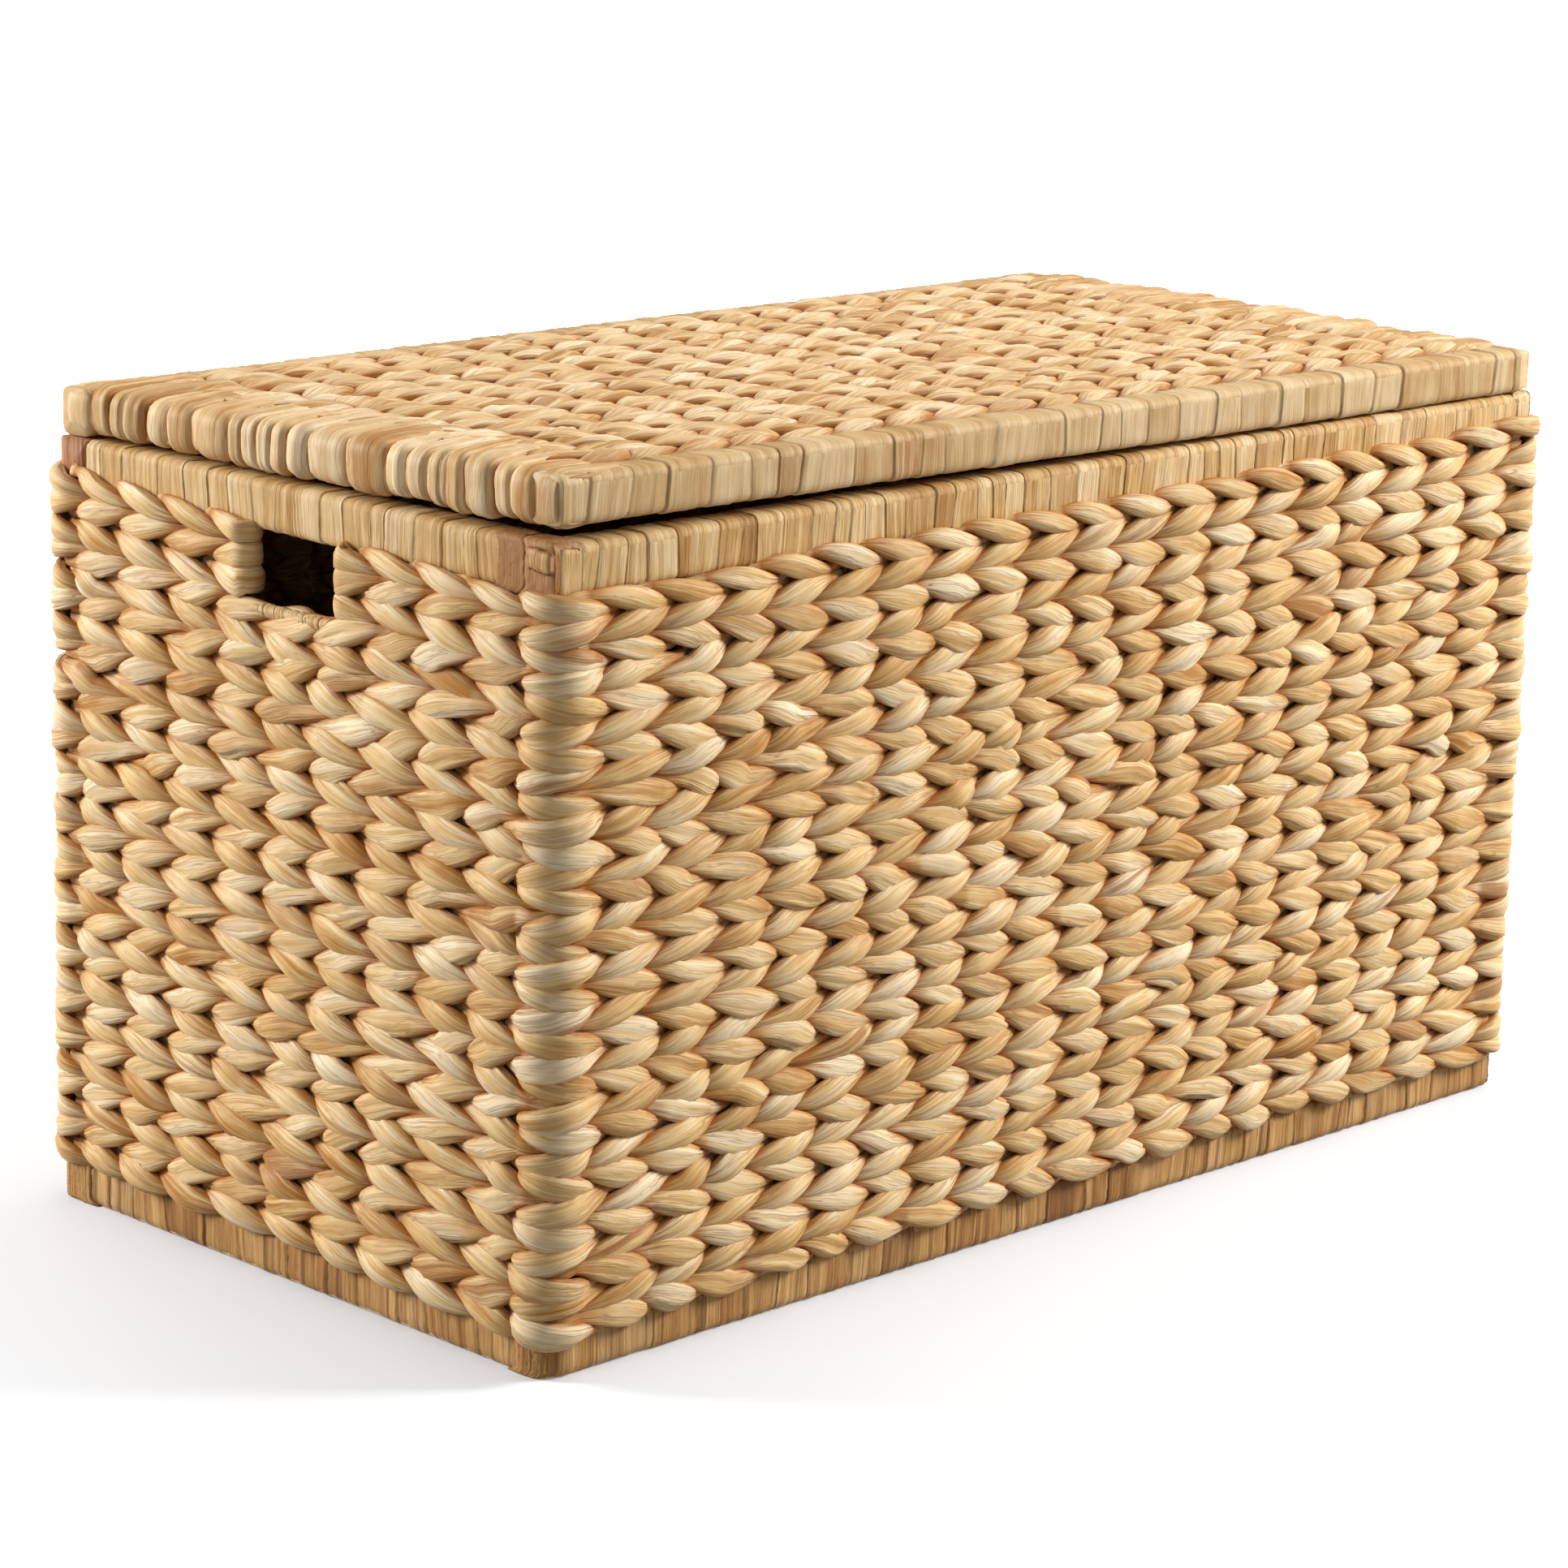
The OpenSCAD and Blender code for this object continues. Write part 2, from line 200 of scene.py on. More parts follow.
def close_ends(points, fibre, tone):
    """Adds a small ring at each end of an open tube, so that its last faces close it."""
    ends = points[[0, -1]]
    inner = ends.mean(1, keepdims=True)
    lips = inner + (ends - inner) * LIP_SHARE
    rows = np.r_[0, 0:len(points), -1]
    return np.concatenate([lips[:1], points, lips[1:]]), fibre[rows], tone[rows]


def fibre_grid(along, across, number):
    """Fibre values of a grid. Each may be one value, a row of them, or a column with a second axis."""
    return np.stack(np.broadcast_arrays(along, across, number), -1).astype(float)


def unit(vectors):
    return vectors / np.maximum(np.linalg.norm(vectors, axis=-1, keepdims=True), 1e-12)


def tangents(points, loop):
    """Directions along a row of points."""
    if loop:
        return unit(np.roll(points, -1, 0) - np.roll(points, 1, 0))
    return unit(np.gradient(points, axis=0))


def sweep(surface, points, normals, half_w, half_t, tone, number, sides=16, folds=None, loop=False,
          square=1.0):
    """Sweeps a flattened section along points. normals are the directions of its thin side."""
    along = tangents(points, loop)
    thin = unit(normals - along * np.sum(normals * along, -1, keepdims=True))
    wide = np.cross(along, thin)
    turn = np.arange(sides) * math.tau / sides
    c, s = np.cos(turn), np.sin(turn)
    c, s = np.sign(c) * np.abs(c) ** square, np.sign(s) * np.abs(s) ** square
    reach = np.ones((len(points), sides)) if folds is None else 1 + folds
    rings = (points[:, None] + wide[:, None] * (half_w[:, None] * c * reach)[..., None]
             + thin[:, None] * (half_t[:, None] * s * reach)[..., None])
    steps = np.linalg.norm(np.diff(points, axis=0, append=points[:1] if loop else points[-1:]), axis=1)
    length = np.concatenate([[0], np.cumsum(steps)])[:len(points) + loop]
    around = np.arange(sides + 1) * (2.2 * (STRAND_W + STRAND_T) / sides)
    fibre = fibre_grid(length[:, None], around, number)
    surface.tube(rings, fibre, np.repeat(tone[:, None], sides, 1) if tone.ndim == 2 else tone, loop)


# ---------- twined weave ----------

class WallPath:
    """The rounded rectangle through the wire uprights, from above. It starts at the middle of the
    back and runs to the right as seen from outside. Its supports are the uprights and the posts."""

    def __init__(self):
        self.half = np.array([abs(middle("wall_stakes_right")[0]), abs(middle("wall_stakes_back")[1])])
        self.px, self.py = self.half - WALL_CORNER
        self.arc = WALL_CORNER * math.pi / 2
        last_x = middle("wall_stakes_front")[0] + (FRONT_GAPS / 2) * self.pitch("wall_stakes_front", 0)
        last_y = (SIDE_GAPS / 2) * self.pitch("wall_stakes_left", 1)
        xs = np.linspace(-last_x, last_x, FRONT_GAPS + 1)
        ys = np.linspace(-last_y, last_y, SIDE_GAPS + 1)
        px, py, arc = self.px, self.py, self.arc
        self.starts = s = np.cumsum([0, px, arc, 2 * py, arc, 2 * px, arc, 2 * py, arc])
        self.length = s[-1] + px
        self.supports = np.concatenate([
            xs[xs > -1e-6], [s[1] + arc / 2], s[2] + py + ys, [s[3] + arc / 2], s[4] + px + xs,
            [s[5] + arc / 2], s[6] + py + ys, [s[7] + arc / 2], s[8] + px + xs[xs < -1e-6]])
        self.count = len(self.supports)

    def pitch(self, node, axis):
        """Spacing of a row of uprights, whose box is one wire wider than the row."""
        low, high = box(node)
        wire = (high - low)[1 - axis]
        gaps = FRONT_GAPS if axis == 0 else SIDE_GAPS
        return (high[axis] - low[axis] - wire) / gaps

    def distance(self, t):
        """Distance along the path of support number t, which may lie between two supports."""
        turns = np.floor(np.asarray(t, float) / self.count)
        knots = np.append(self.supports, self.length)
        return np.interp(t - turns * self.count, np.arange(self.count + 1), knots) + turns * self.length

    def support_at(self, x, y):
        """Number of the upright nearest to a place on the path."""
        points, _ = self.place(np.arange(self.count))
        return int(np.argmin(np.hypot(points[:, 0] - x, points[:, 1] - y)))

    def place(self, t):
        """Points on the path, at z = 0, and the outward directions there. The path swells out a
        little where it goes round a corner post."""
        s = np.mod(self.distance(t), self.length)
        leg = np.searchsorted(self.starts, s, "right") - 1
        past = s - self.starts[leg]
        turn = ((leg + 1) // 2 + (leg % 2) * (past / self.arc - 1)) * math.pi / 2 + math.pi / 2
        out = np.stack([np.cos(turn), np.sin(turn), np.zeros_like(turn)], -1)
        px, py = self.px, self.py
        hx, hy = self.half
        straights = {0: (0, hy, -1, 0), 2: (-hx, py, 0, -1), 4: (-px, -hy, 1, 0), 6: (hx, -py, 0, 1),
                     8: (px, hy, -1, 0)}
        corners = {1: (-px, py), 3: (-px, -py), 5: (px, -py), 7: (px, py)}
        points = np.zeros((len(s), 3))
        for number, (ox, oy, dx, dy) in straights.items():
            here = leg == number
            points[here, 0] = ox + dx * past[here]
            points[here, 1] = oy + dy * past[here]
        for number, centre in corners.items():
            here = leg == number
            swell = WALL_CORNER + CORNER_SWELL * np.sin(math.pi * past[here] / self.arc)
            points[here, :2] = np.array(centre) + swell[:, None] * out[here, :2]
        return points, out


# How much lobes differ: in width, thickness and tilt as a share, and in place. Then the shares of
# lobes and of strips of leaf that are red or grey.
WIDTH_SPREAD = 0.11
THICK_SPREAD = 0.12
TILT_SPREAD = 0.18
PLACE_SPREAD = 0.0006
RED_LOBES, GREY_LOBES = 0.11, 0.13
RED_STRIPS, GREY_STRIPS = 0.10, 0.15

# How much a course rises and falls in a wall, and strays in a flat panel
WALL_RIPPLE = 0.0005
PANEL_RIPPLE = 0.0008

# Folds along a lobe, as shares of its half size: its roughness, the waves round its section and their
# greatest depth, and how many grooves it has and how deep they are
ROUGHNESS = 0.012
WAVES = (4, 6, 7, 9)
WAVE_DEPTH = 0.035
GROOVES = 3
GROOVE_DEPTH = (0.05, 0.17)


def patchy(rng, count, share, strong, weak=(0.0, 0.0)):
    """Random values in the range strong for a share of the count, and in the range weak for the
    others."""
    chosen = rng.random(count) < share
    values = rng.uniform(*strong, count)
    return np.where(chosen, values, rng.uniform(*weak, count) if any(weak) else 0.0)


class Lobes:
    """What varies from lobe to lobe along one strand: a repeatable random value at each upright."""

    def __init__(self, rng, count, sides, size=1.0):
        self.count = count
        self.width = size * rng.normal(1.0, WIDTH_SPREAD, count).clip(0.76, 1.25)
        self.thick = rng.normal(1.0, THICK_SPREAD, count).clip(0.75, 1.25)
        self.tilt = rng.normal(1.0, TILT_SPREAD, count).clip(0.6, 1.4)
        self.out = rng.normal(0, PLACE_SPREAD, count)
        self.up = rng.normal(0, PLACE_SPREAD, count)
        knots = np.arange(count // 8 + 2)
        slow = np.interp(np.arange(count), 8 * knots, rng.normal(size=len(knots)))
        self.bright = (0.5 + 0.10 * rng.normal(size=count) + 0.08 * slow).clip(0, 1)
        self.red = patchy(rng, count, RED_LOBES, (0.5, 1.0), (0, 0.2))
        self.grey = patchy(rng, count, GREY_LOBES, (0.4, 1.0))
        self.folds = wrinkles(rng, count, sides)

    def at(self, values, t):
        low = np.floor(t).astype(int)
        share = t - low
        return values[low % self.count] * (1 - share) + values[(low + 1) % self.count] * share


def wrinkles(rng, count, sides):
    """Lengthwise folds: for each of count lobes, how far each column of its section stands out."""
    turn = np.arange(sides) * math.tau / sides
    folds = ROUGHNESS * rng.normal(size=(count, sides))
    for waves in WAVES:
        phase = rng.uniform(0, math.tau, (count, 1))
        folds += rng.uniform(0.0, WAVE_DEPTH, (count, 1)) * np.cos(waves * turn + phase)
    lobe = np.arange(count)
    for _ in range(GROOVES):
        groove = rng.integers(sides // 10, sides // 2 - sides // 10 + 1, count)
        folds[lobe, groove] -= rng.uniform(*GROOVE_DEPTH, count)
    return folds


def strand_shape(lobes, t, angle):
    """Half width, half thickness, folds and tone along a strand that is at angle round its pair."""
    near = np.abs(np.cos(angle))
    half_w = STRAND_W * (PINCH_W + (1 - PINCH_W) * near * lobes.at(lobes.width, t))
    half_t = STRAND_T * (PINCH_T + (1 - PINCH_T) * near) * lobes.at(lobes.thick, t)
    lobe = np.rint(t).astype(int) % lobes.count
    folds = lobes.folds[lobe] * near[:, None] ** 0.35
    # The tone's third channel is painted shade: it grows where the strand narrows to cross its pair, and
    # EDGE_SHADE adds more along the edges of its section.
    tone = np.stack([lobes.bright[lobe], lobes.red[lobe], 1 - near, lobes.grey[lobe]], -1)
    sides = folds.shape[1]
    tone = np.repeat(tone[:, None], sides, 1)
    tone[..., 2] += EDGE_SHADE * np.abs(np.cos(np.arange(sides) * math.tau / sides)) ** 6
    return half_w, half_t, folds, tone.clip(0, 1)


def strand_angle(turns):
    """Angle round the pair after so many half turns. A strand passes slowly outside the uprights and
    quickly inside them, so its outer lobes are long and overlap at their tips."""
    phase = np.mod(turns + 1, 2) - 1
    slow = np.abs(phase) < OUTSIDE_SHARE
    past = np.abs(phase) - OUTSIDE_SHARE
    quick = 0.5 + past * 0.5 / (1 - OUTSIDE_SHARE)
    return math.pi * np.where(slow, phase * 0.5 / OUTSIDE_SHARE, np.sign(phase) * quick)


def pair_place(carrier, lobes, t, phase, hand, wander=0.0):
    """Centre line and thin direction of one strand of a twined pair. hand is 1 where the lobes rise
    to the right as seen from outside, and -1 where they fall."""
    base, out, up = carrier(t)
    angle = strand_angle(t + phase + wander)
    c, s = np.cos(angle)[:, None], hand * np.sin(angle)[:, None]
    swing = np.where(c > 0, SWING_OUT, SWING_IN) * c
    rise = SWING_UP * s * lobes.at(lobes.tilt, t)[:, None]
    points = (base + out * (swing + lobes.at(lobes.out, t)[:, None])
              + up * (rise + lobes.at(lobes.up, t)[:, None]))
    return points, out + up * STRAND_TILT * s, angle


def twine_loop(surface, carrier, count, hand, rng, number, size=1.0, per_gap=11, sides=22):
    """A course that goes all the way round."""
    t = np.arange(count * per_gap) / per_gap
    drift = rng.normal(0, WANDER, count)
    wander = np.interp(t, np.arange(count + 1), np.append(drift, drift[0]))
    for phase in (0, 1):
        lobes = Lobes(rng, count, sides, size)
        points, thin, angle = pair_place(carrier, lobes, t, phase, hand, wander)
        half_w, half_t, folds, tone = strand_shape(lobes, t, angle)
        sweep(surface, points, thin, half_w, half_t, tone, number + phase / 2, sides, folds, True,
              STRAND_SQUARE)


def turn_back(carrier, end, sign, face, reach):
    """The half turn of a strand round an end upright: its points and its radial directions. face is
    1 where it comes from outside, sign is 1 at the end of the course and -1 at its start, and reach
    is how far the strand goes past the upright."""
    steps = np.linspace(0, math.pi, 8)[1:-1]
    base, out, up = carrier(np.full(len(steps), end, float))
    ahead = np.cross(up, out) * sign
    c, s = face * np.cos(steps)[:, None], np.sin(steps)[:, None]
    swing = np.where(c > 0, SWING_OUT, SWING_IN) * c
    return base + out * swing + ahead * reach * s, out * c + ahead * s


def twine_between(surface, carrier, first, last, hand, rng, number, size, reach, per_gap=11, sides=22):
    """A course between two uprights. One strand goes there and back, turning round both of them."""
    count = last - first + 1
    lobes = Lobes(rng, 2 * count, sides, size)
    t = first + np.arange((count - 1) * per_gap + 1) / per_gap
    start = (first + 1) % 2
    out_points, out_thin, out_angle = pair_place(carrier, lobes, t, start, hand)
    back_points, back_thin, back_angle = pair_place(carrier, lobes, t, start + 1, hand)
    face = math.copysign(1, math.cos(out_angle[-1]))
    far_points, far_radial = turn_back(carrier, last, 1, face, reach)
    near_points, near_radial = turn_back(carrier, first, -1, 1, reach)
    points = np.concatenate([out_points, far_points, back_points[::-1], near_points])
    thin = np.concatenate([out_thin, face * far_radial, -back_thin[::-1], -near_radial])
    flat = np.zeros(len(far_points))
    angle = np.concatenate([out_angle, flat, back_angle[::-1], flat])
    place = np.concatenate([t, flat + last, t[::-1] + count, flat + first]) - first
    half_w, half_t, folds, tone = strand_shape(lobes, place, angle)
    sweep(surface, points, thin, half_w, half_t, tone, number, sides, folds, True, STRAND_SQUARE)


def ease(t, knots):
    """A value that changes with t between knots of (t, value)."""
    places, values = zip(*knots)
    return np.interp(t, places, values)


def wall_carrier(path, course, height, ripple, holes):
    """The carrier of one course of the wall: a function that gives its centre line and its outward
    and upward directions at support number t."""
    from_top = (COURSES - 1 - course) / COURSES
    above, below = (1 - from_top) ** 5, from_top ** 7
    dip = HOLE_DIP if COURSES - HOLE_COURSES - 2 <= course < COURSES - HOLE_COURSES else 0.0

    def carrier(t):
        base, out = path.place(t)
        around = np.mod(t, path.count)
        base[:, 2] = height + above * ease(around, TOP_CLIMB) + below * ease(around, FOOT_DROOP)
        base[:, 2] += np.interp(around, np.arange(path.count + 1), ripple)
        base[:, 2] -= sum(dip * np.exp(-(around - hole) ** 2) for hole in holes)
        return base, out, np.broadcast_to(Z, base.shape)

    return carrier


def wall_weave(material):
    """The wall's courses, in pieces of three. Those beside a finger hole stop at its uprights."""
    path = WallPath()
    low, high = box("wall_weave_front")
    pitch = (high[2] - low[2]) / COURSES
    hx, hy = path.half
    _, jamb_y, _ = box("finger_hole_sill_left")[1]
    left_back, left_front = path.support_at(-hx, jamb_y), path.support_at(-hx, -jamb_y)
    right_front, right_back = path.support_at(hx, -jamb_y), path.support_at(hx, jamb_y)
    holes = (left_back + left_front) / 2, (right_front + right_back) / 2
    walls = [f"wall_weave_{side}" for side in SIDES]
    for group in range(0, COURSES, 3):
        surface = Surface()
        for course in range(group, min(group + 3, COURSES)):
            rng = np.random.default_rng(1000 + course)
            height = low[2] + pitch * (course + 0.5)
            ripple = np.append(rng.normal(0, WALL_RIPPLE, path.count), 0)
            carrier = wall_carrier(path, course, height, ripple, holes)
            hand = -1 if (COURSES - course) % 2 else 1
            size = TOP_SIZES.get(COURSES - course, 1.0)
            if course < COURSES - HOLE_COURSES:
                twine_loop(surface, carrier, path.count, hand, rng, course, size)
            else:
                twine_between(surface, carrier, left_front, right_front, hand, rng, course, size,
                              FRONT_REACH)
                twine_between(surface, carrier, right_back, left_back + path.count, hand, rng,
                              course + 0.5, size, BACK_REACH)
        surface.build(f"wall_courses_{group // 3 + 1}", HAMPER, material, walls)


def panel_carrier(reach, y, height, stray):
    """The carrier of one course of a flat panel, which runs along X from -reach to reach."""
    def carrier(t):
        x = -reach + 2 * reach * t / FRONT_GAPS
        base = np.stack([x, y + np.interp(t, np.arange(-1, FRONT_GAPS + 2), stray),
                         np.full_like(x, height)], -1)
        return base, np.broadcast_to(Z, base.shape), np.broadcast_to(Y, base.shape)

    return carrier


def twine_across(surface, carrier, over, height, hand, rng, number, flat, warp, per_gap, sides):
    """A course of a flat panel, which goes over gaps past its first and last wires. flat is the
    share left of the strands' relief."""
    steps = int(round((FRONT_GAPS + 2 * over) * per_gap))
    t = np.linspace(-over, FRONT_GAPS + over, steps + 1)
    wander = np.interp(t, np.arange(-1, FRONT_GAPS + 2), rng.normal(0, WANDER, FRONT_GAPS + 3))
    for phase in (0, 1):
        lobes = Lobes(rng, FRONT_GAPS + 3, sides)
        points, thin, angle = pair_place(carrier, lobes, t, phase, hand, wander)
        half_w, half_t, folds, tone = strand_shape(lobes, t, angle)
        points[:, 2] = height + (points[:, 2] - height) * flat
        sweep(surface, warp(points) if warp else points, thin, half_w, half_t * flat, tone,
              number + phase / 2, sides, folds, square=STRAND_SQUARE)


def panel_weave(name, body, panel, wires, material, parts, seed, flat=1.0, warp=None, per_gap=11,
                sides=20):
    """A flat woven panel in a few parts. Its courses run along X between the rails, round wires
    along Y."""
    low, high = box(panel)
    wire_low, wire_high = box(wires)
    reach = (wire_high[0] - wire_low[0] - (wire_high[2] - wire_low[2])) / 2
    pitch = (high[1] - low[1]) / PANEL_ROWS
    height = (low[2] + high[2]) / 2
    over = (high[0] - reach) / (2 * reach / FRONT_GAPS)
    part_rows = math.ceil(PANEL_ROWS / parts)
    for part in range(parts):
        surface = Surface()
        for row in range(part * part_rows, min((part + 1) * part_rows, PANEL_ROWS)):
            rng = np.random.default_rng(seed + row)
            stray = rng.normal(0, PANEL_RIPPLE, FRONT_GAPS + 3)
            carrier = panel_carrier(reach, low[1] + pitch * (row + 0.5), height, stray)
            twine_across(surface, carrier, over, height, -1 if row % 2 else 1, rng, row, flat, warp,
                         per_gap, sides)
        surface.build(f"{name}_{part + 1}", body, material, (panel,))


# ---------- leaf wound round rails ----------

# Across one strip of leaf: how far from its edge, how far it stands out there and how much painted shade
# lies there
STRIP_PROFILE = ((0.0, 0.30, 1.0), (0.02, 0.92, 0.5), (0.05, 1.0, 0.0), (0.13, 0.97, 0.0), (0.21, 1.0, 0.0),
                 (0.29, 0.92, 0.0), (0.37, 0.95, 0.0), (0.45, 0.87, 0.0), (0.53, 0.90, 0.0),
                 (0.61, 0.80, 0.0), (0.69, 0.82, 0.0), (0.77, 0.72, 0.0), (0.85, 0.70, 0.0),
                 (0.93, 0.60, 0.0), (0.985, 0.46, 0.3))

# How far apart the fibre numbers of neighbouring strips lie
STRIP_STEP = 0.37


def strip_rows(rng, length, widths, thick, slants, gaps=1.0):
    """Rows of points along a wound rail: place, height above the core, strip number, slant and painted
    shade. Only some of the strips have a deep edge, with painted shade in it, and gaps makes all of them
    deeper."""
    rows = []
    edge, strip = 0.0, 0
    slant = rng.uniform(*slants)
    while edge < length:
        width = rng.uniform(*widths)
        body = thick * rng.uniform(0.55, 1.0)
        next_slant = rng.uniform(*slants)
        depth = gaps * rng.choice([0.0, 0.05, 0.15, 0.35, 0.7])
        for share, level, dark in STRIP_PROFILE:
            level += (0.62 - level) * (1 - depth) if share == 0 else 0.0
            # The darkness at a strip's edge is painted shade, more where the edge lies deeper; the first
            # strip's edge has none.
            dark = dark if strip else 0.0
            rows.append((edge + share * width, body * level, strip, slant + (next_slant - slant) * share,
                         min(1.2 * dark * depth, 1)))
        edge += width
        strip += 1
        slant = next_slant
    rows = [row for row in rows if row[0] < length - 0.0005]
    rows.append((length, rows[-1][1], rows[-1][2], 0.0, 0.0))
    return np.array(rows)


def outline(width, height, radius, flat=5, bend=3):
    """Points, outward directions and distances round a rectangle with round corners."""
    points, outs = [], []
    corners = ((1, 1), (-1, 1), (-1, -1), (1, -1))
    for number, (sx, sy) in enumerate(corners):
        centre = np.array([sx * (width / 2 - radius), sy * (height / 2 - radius)])
        for turn in np.linspace(0, math.pi / 2, bend + 1) + number * math.pi / 2:
            out = np.array([math.cos(turn), math.sin(turn)])
            points.append(centre + radius * out)
            outs.append(out)
        nx, ny = corners[(number + 1) % 4]
        ahead = np.array([nx * (width / 2 - radius), ny * (height / 2 - radius)]) + radius * outs[-1]
        here = points[-1]
        for share in np.arange(1, flat) / flat:
            points.append(here + (ahead - here) * share)
            outs.append(outs[-1])
    points, outs = np.array(points), np.array(outs)
    gaps = np.linalg.norm(np.diff(points, axis=0, append=points[:1]), axis=1)
    return points, outs, np.concatenate([[0], np.cumsum(gaps)])


def rail_frame(low, high, inset=0.0):
    """The number of a rail's long axis, its directions lengthwise and sideways, and the middle of
    its start, moved inset along it."""
    size = high - low
    axis = int(np.argmax(size))
    along, side = (X, -Y) if axis == 0 else (Y, X)
    return axis, along, side, (low + high) / 2 - along * (size[axis] / 2 - inset)


def wound_rail(name, node, body, material, widths, thick, seed, ends=(0, 0), radius=0.0035,
               wrinkle=0.00016, slants=(-0.05, 0.14), gaps=1.0, warp=None, covers=()):
    """A rail wound with strips of leaf, in the place of a CAD sleeve. ends shortens it, and covers
    names the nodes that it hides."""
    rng = np.random.default_rng(seed)
    low, high = box(node)
    size = high - low
    axis, along, side, start = rail_frame(low, high, ends[0])
    length = size[axis] - sum(ends)
    rows = strip_rows(rng, length, widths, thick, slants, gaps)
    section, outs, around = outline(size[1 - axis] - thick, size[2] - thick, radius)
    slack = np.clip(np.minimum(rows[:, 0], length - rows[:, 0]) / SQUARE_END, 0, 1)
    tilt = (rows[:, 3] * slack)[:, None] * section[None, :, 1]
    lift = (rows[:, 1, None] + rng.normal(0, wrinkle, (len(rows), 1))
            + rng.normal(0, wrinkle / 2, (len(rows), len(section))))
    flat = section[None] + outs[None] * lift[..., None]
    points = (start + along * (rows[:, 0, None] + tilt)[..., None] + side * flat[..., 0:1]
              + Z * flat[..., 1:2])
    strips = int(rows[-1, 2]) + 1
    bright = (0.5 + 0.15 * rng.normal(size=strips)).clip(0, 1)
    red = patchy(rng, strips, RED_STRIPS, (0.3, 0.9), (0, 0.15))
    grey = patchy(rng, strips, GREY_STRIPS, (0.3, 0.8))
    strip = rows[:, 2].astype(int)
    # The third channel carries the painted shade at the strips' edges.
    tone = np.stack([bright[strip], red[strip], rows[:, 4], grey[strip]], -1)[:, None]
    fibre = fibre_grid(around, rows[:, 0, None], rows[:, 2, None] * STRIP_STEP + seed)
    points, fibre, tone = close_ends(points, fibre, tone)
    surface = Surface()
    surface.grid(warp(points) if warp else points, fibre, np.repeat(tone, len(section), 1), ring=True)
    surface.build(name, body, material, (node, *covers))


def round_corners(near, far):
    """A warp that rounds the frame's four upright corners, as seen from above, and keeps all of it
    above the floor. near is the radius at the front left corner and far the one at the others."""
    low, high = box("base_wrap_front")
    edges = np.array([high[0], -low[1]])

    def warp(points):
        front_left = (points[..., :2] < 0).all(-1, keepdims=True)
        centre = edges - np.where(front_left, near, far)
        away = np.abs(points[..., :2]) - centre
        square = away.max(-1)
        slanted = np.maximum(np.hypot(away[..., 0], away[..., 1]), 1e-9)
        scale = np.where((away > 0).all(-1), square / slanted, 1)[..., None]
        rounded = points.copy()
        corner = np.sign(points[..., :2]) * (centre + away * scale)
        rounded[..., :2] = np.where(scale < 1, corner, points[..., :2])
        below = np.minimum(points[..., 2] - FLOOR_GAP, 0)
        rounded[..., 2] = np.maximum(points[..., 2], FLOOR_GAP) + DEPTH_SHARE * below
        return rounded

    return warp


def bar(surface, low, high, inset=0.0, bare=0.0, radius=0.0015, warp=None):
    """A wooden bar between two corners. It is thinner by inset under its winding, and keeps its
    full section for the length bare at its start. Its ends lie just inside the winding's."""
    size = high - low
    axis, along, side, start = rail_frame(low, high)
    places = np.linspace(END_GAP, size[axis] - END_GAP, 24)
    places = np.sort(np.append(places, [bare, bare + 0.0005] if bare else []))
    section, outs, around = outline(size[1 - axis], size[2], radius, flat=3, bend=2)
    thin = np.where(places < bare + 1e-6, 0.0, inset) if bare else np.full(len(places), inset)
    flat = section[None] - outs[None] * thin[:, None, None]
    points = start + along * places[:, None, None] + side * flat[..., 0:1] + Z * flat[..., 1:2]
    points = warp(points) if warp else points
    fibre = fibre_grid(places[:, None], around, 0)
    surface.tube(points, fibre, np.broadcast_to([0.5, 0.2, 0.0, 0.0], (len(places), len(section), 4)))


def timber(name, node, body, material, space=None, **shape):
    """A wooden rail in the place of a CAD one, or filling another node's space."""
    surface = Surface()
    bar(surface, *box(space or node), **shape)
    surface.build(name, body, material, (node,))


def rod(surface, start, stop, radius, warp):
    """A round wire."""
    share = np.linspace(0, 1, 14)[:, None]
    points = warp(start * (1 - share) + stop * share)
    flat = np.full(len(share), radius)
    tone = np.tile([0.5, 0.0, 0.0, 0.0], (len(share), 1))
    sweep(surface, points, np.broadcast_to(Z, points.shape), flat, flat, tone, 0, sides=8)


def smooth_path(knots, count, bend):
    """A polyline through knots, with its corners rounded over a length of about bend."""
    knots = np.asarray(knots, float)
    place = np.concatenate([[0], np.cumsum(np.linalg.norm(np.diff(knots, axis=0), axis=1))])
    fine = np.linspace(0, place[-1], 300)
    reach = int(round(bend / fine[1]))
    window = np.hanning(2 * reach + 3)[1:-1]
    window /= window.sum()
    values = [np.pad(np.interp(fine, place, knot), reach, "edge") for knot in knots.T]
    smooth = np.stack([np.convolve(value, window, "valid") for value in values], -1)
    return smooth[np.linspace(0, len(fine) - 1, count).astype(int)]


# Leaf over a rail's end: how far in it starts on top and ends underneath, how far it lies off the
# winding, how deep its borders are buried, and how far its lower and upper edges tuck in
COVER_TOP = 0.012
COVER_UNDER = 0.005
COVER_LIFT = 0.0007
COVER_BORDER = 0.0015
COVER_TUCKS = (0.004, 0.0016)


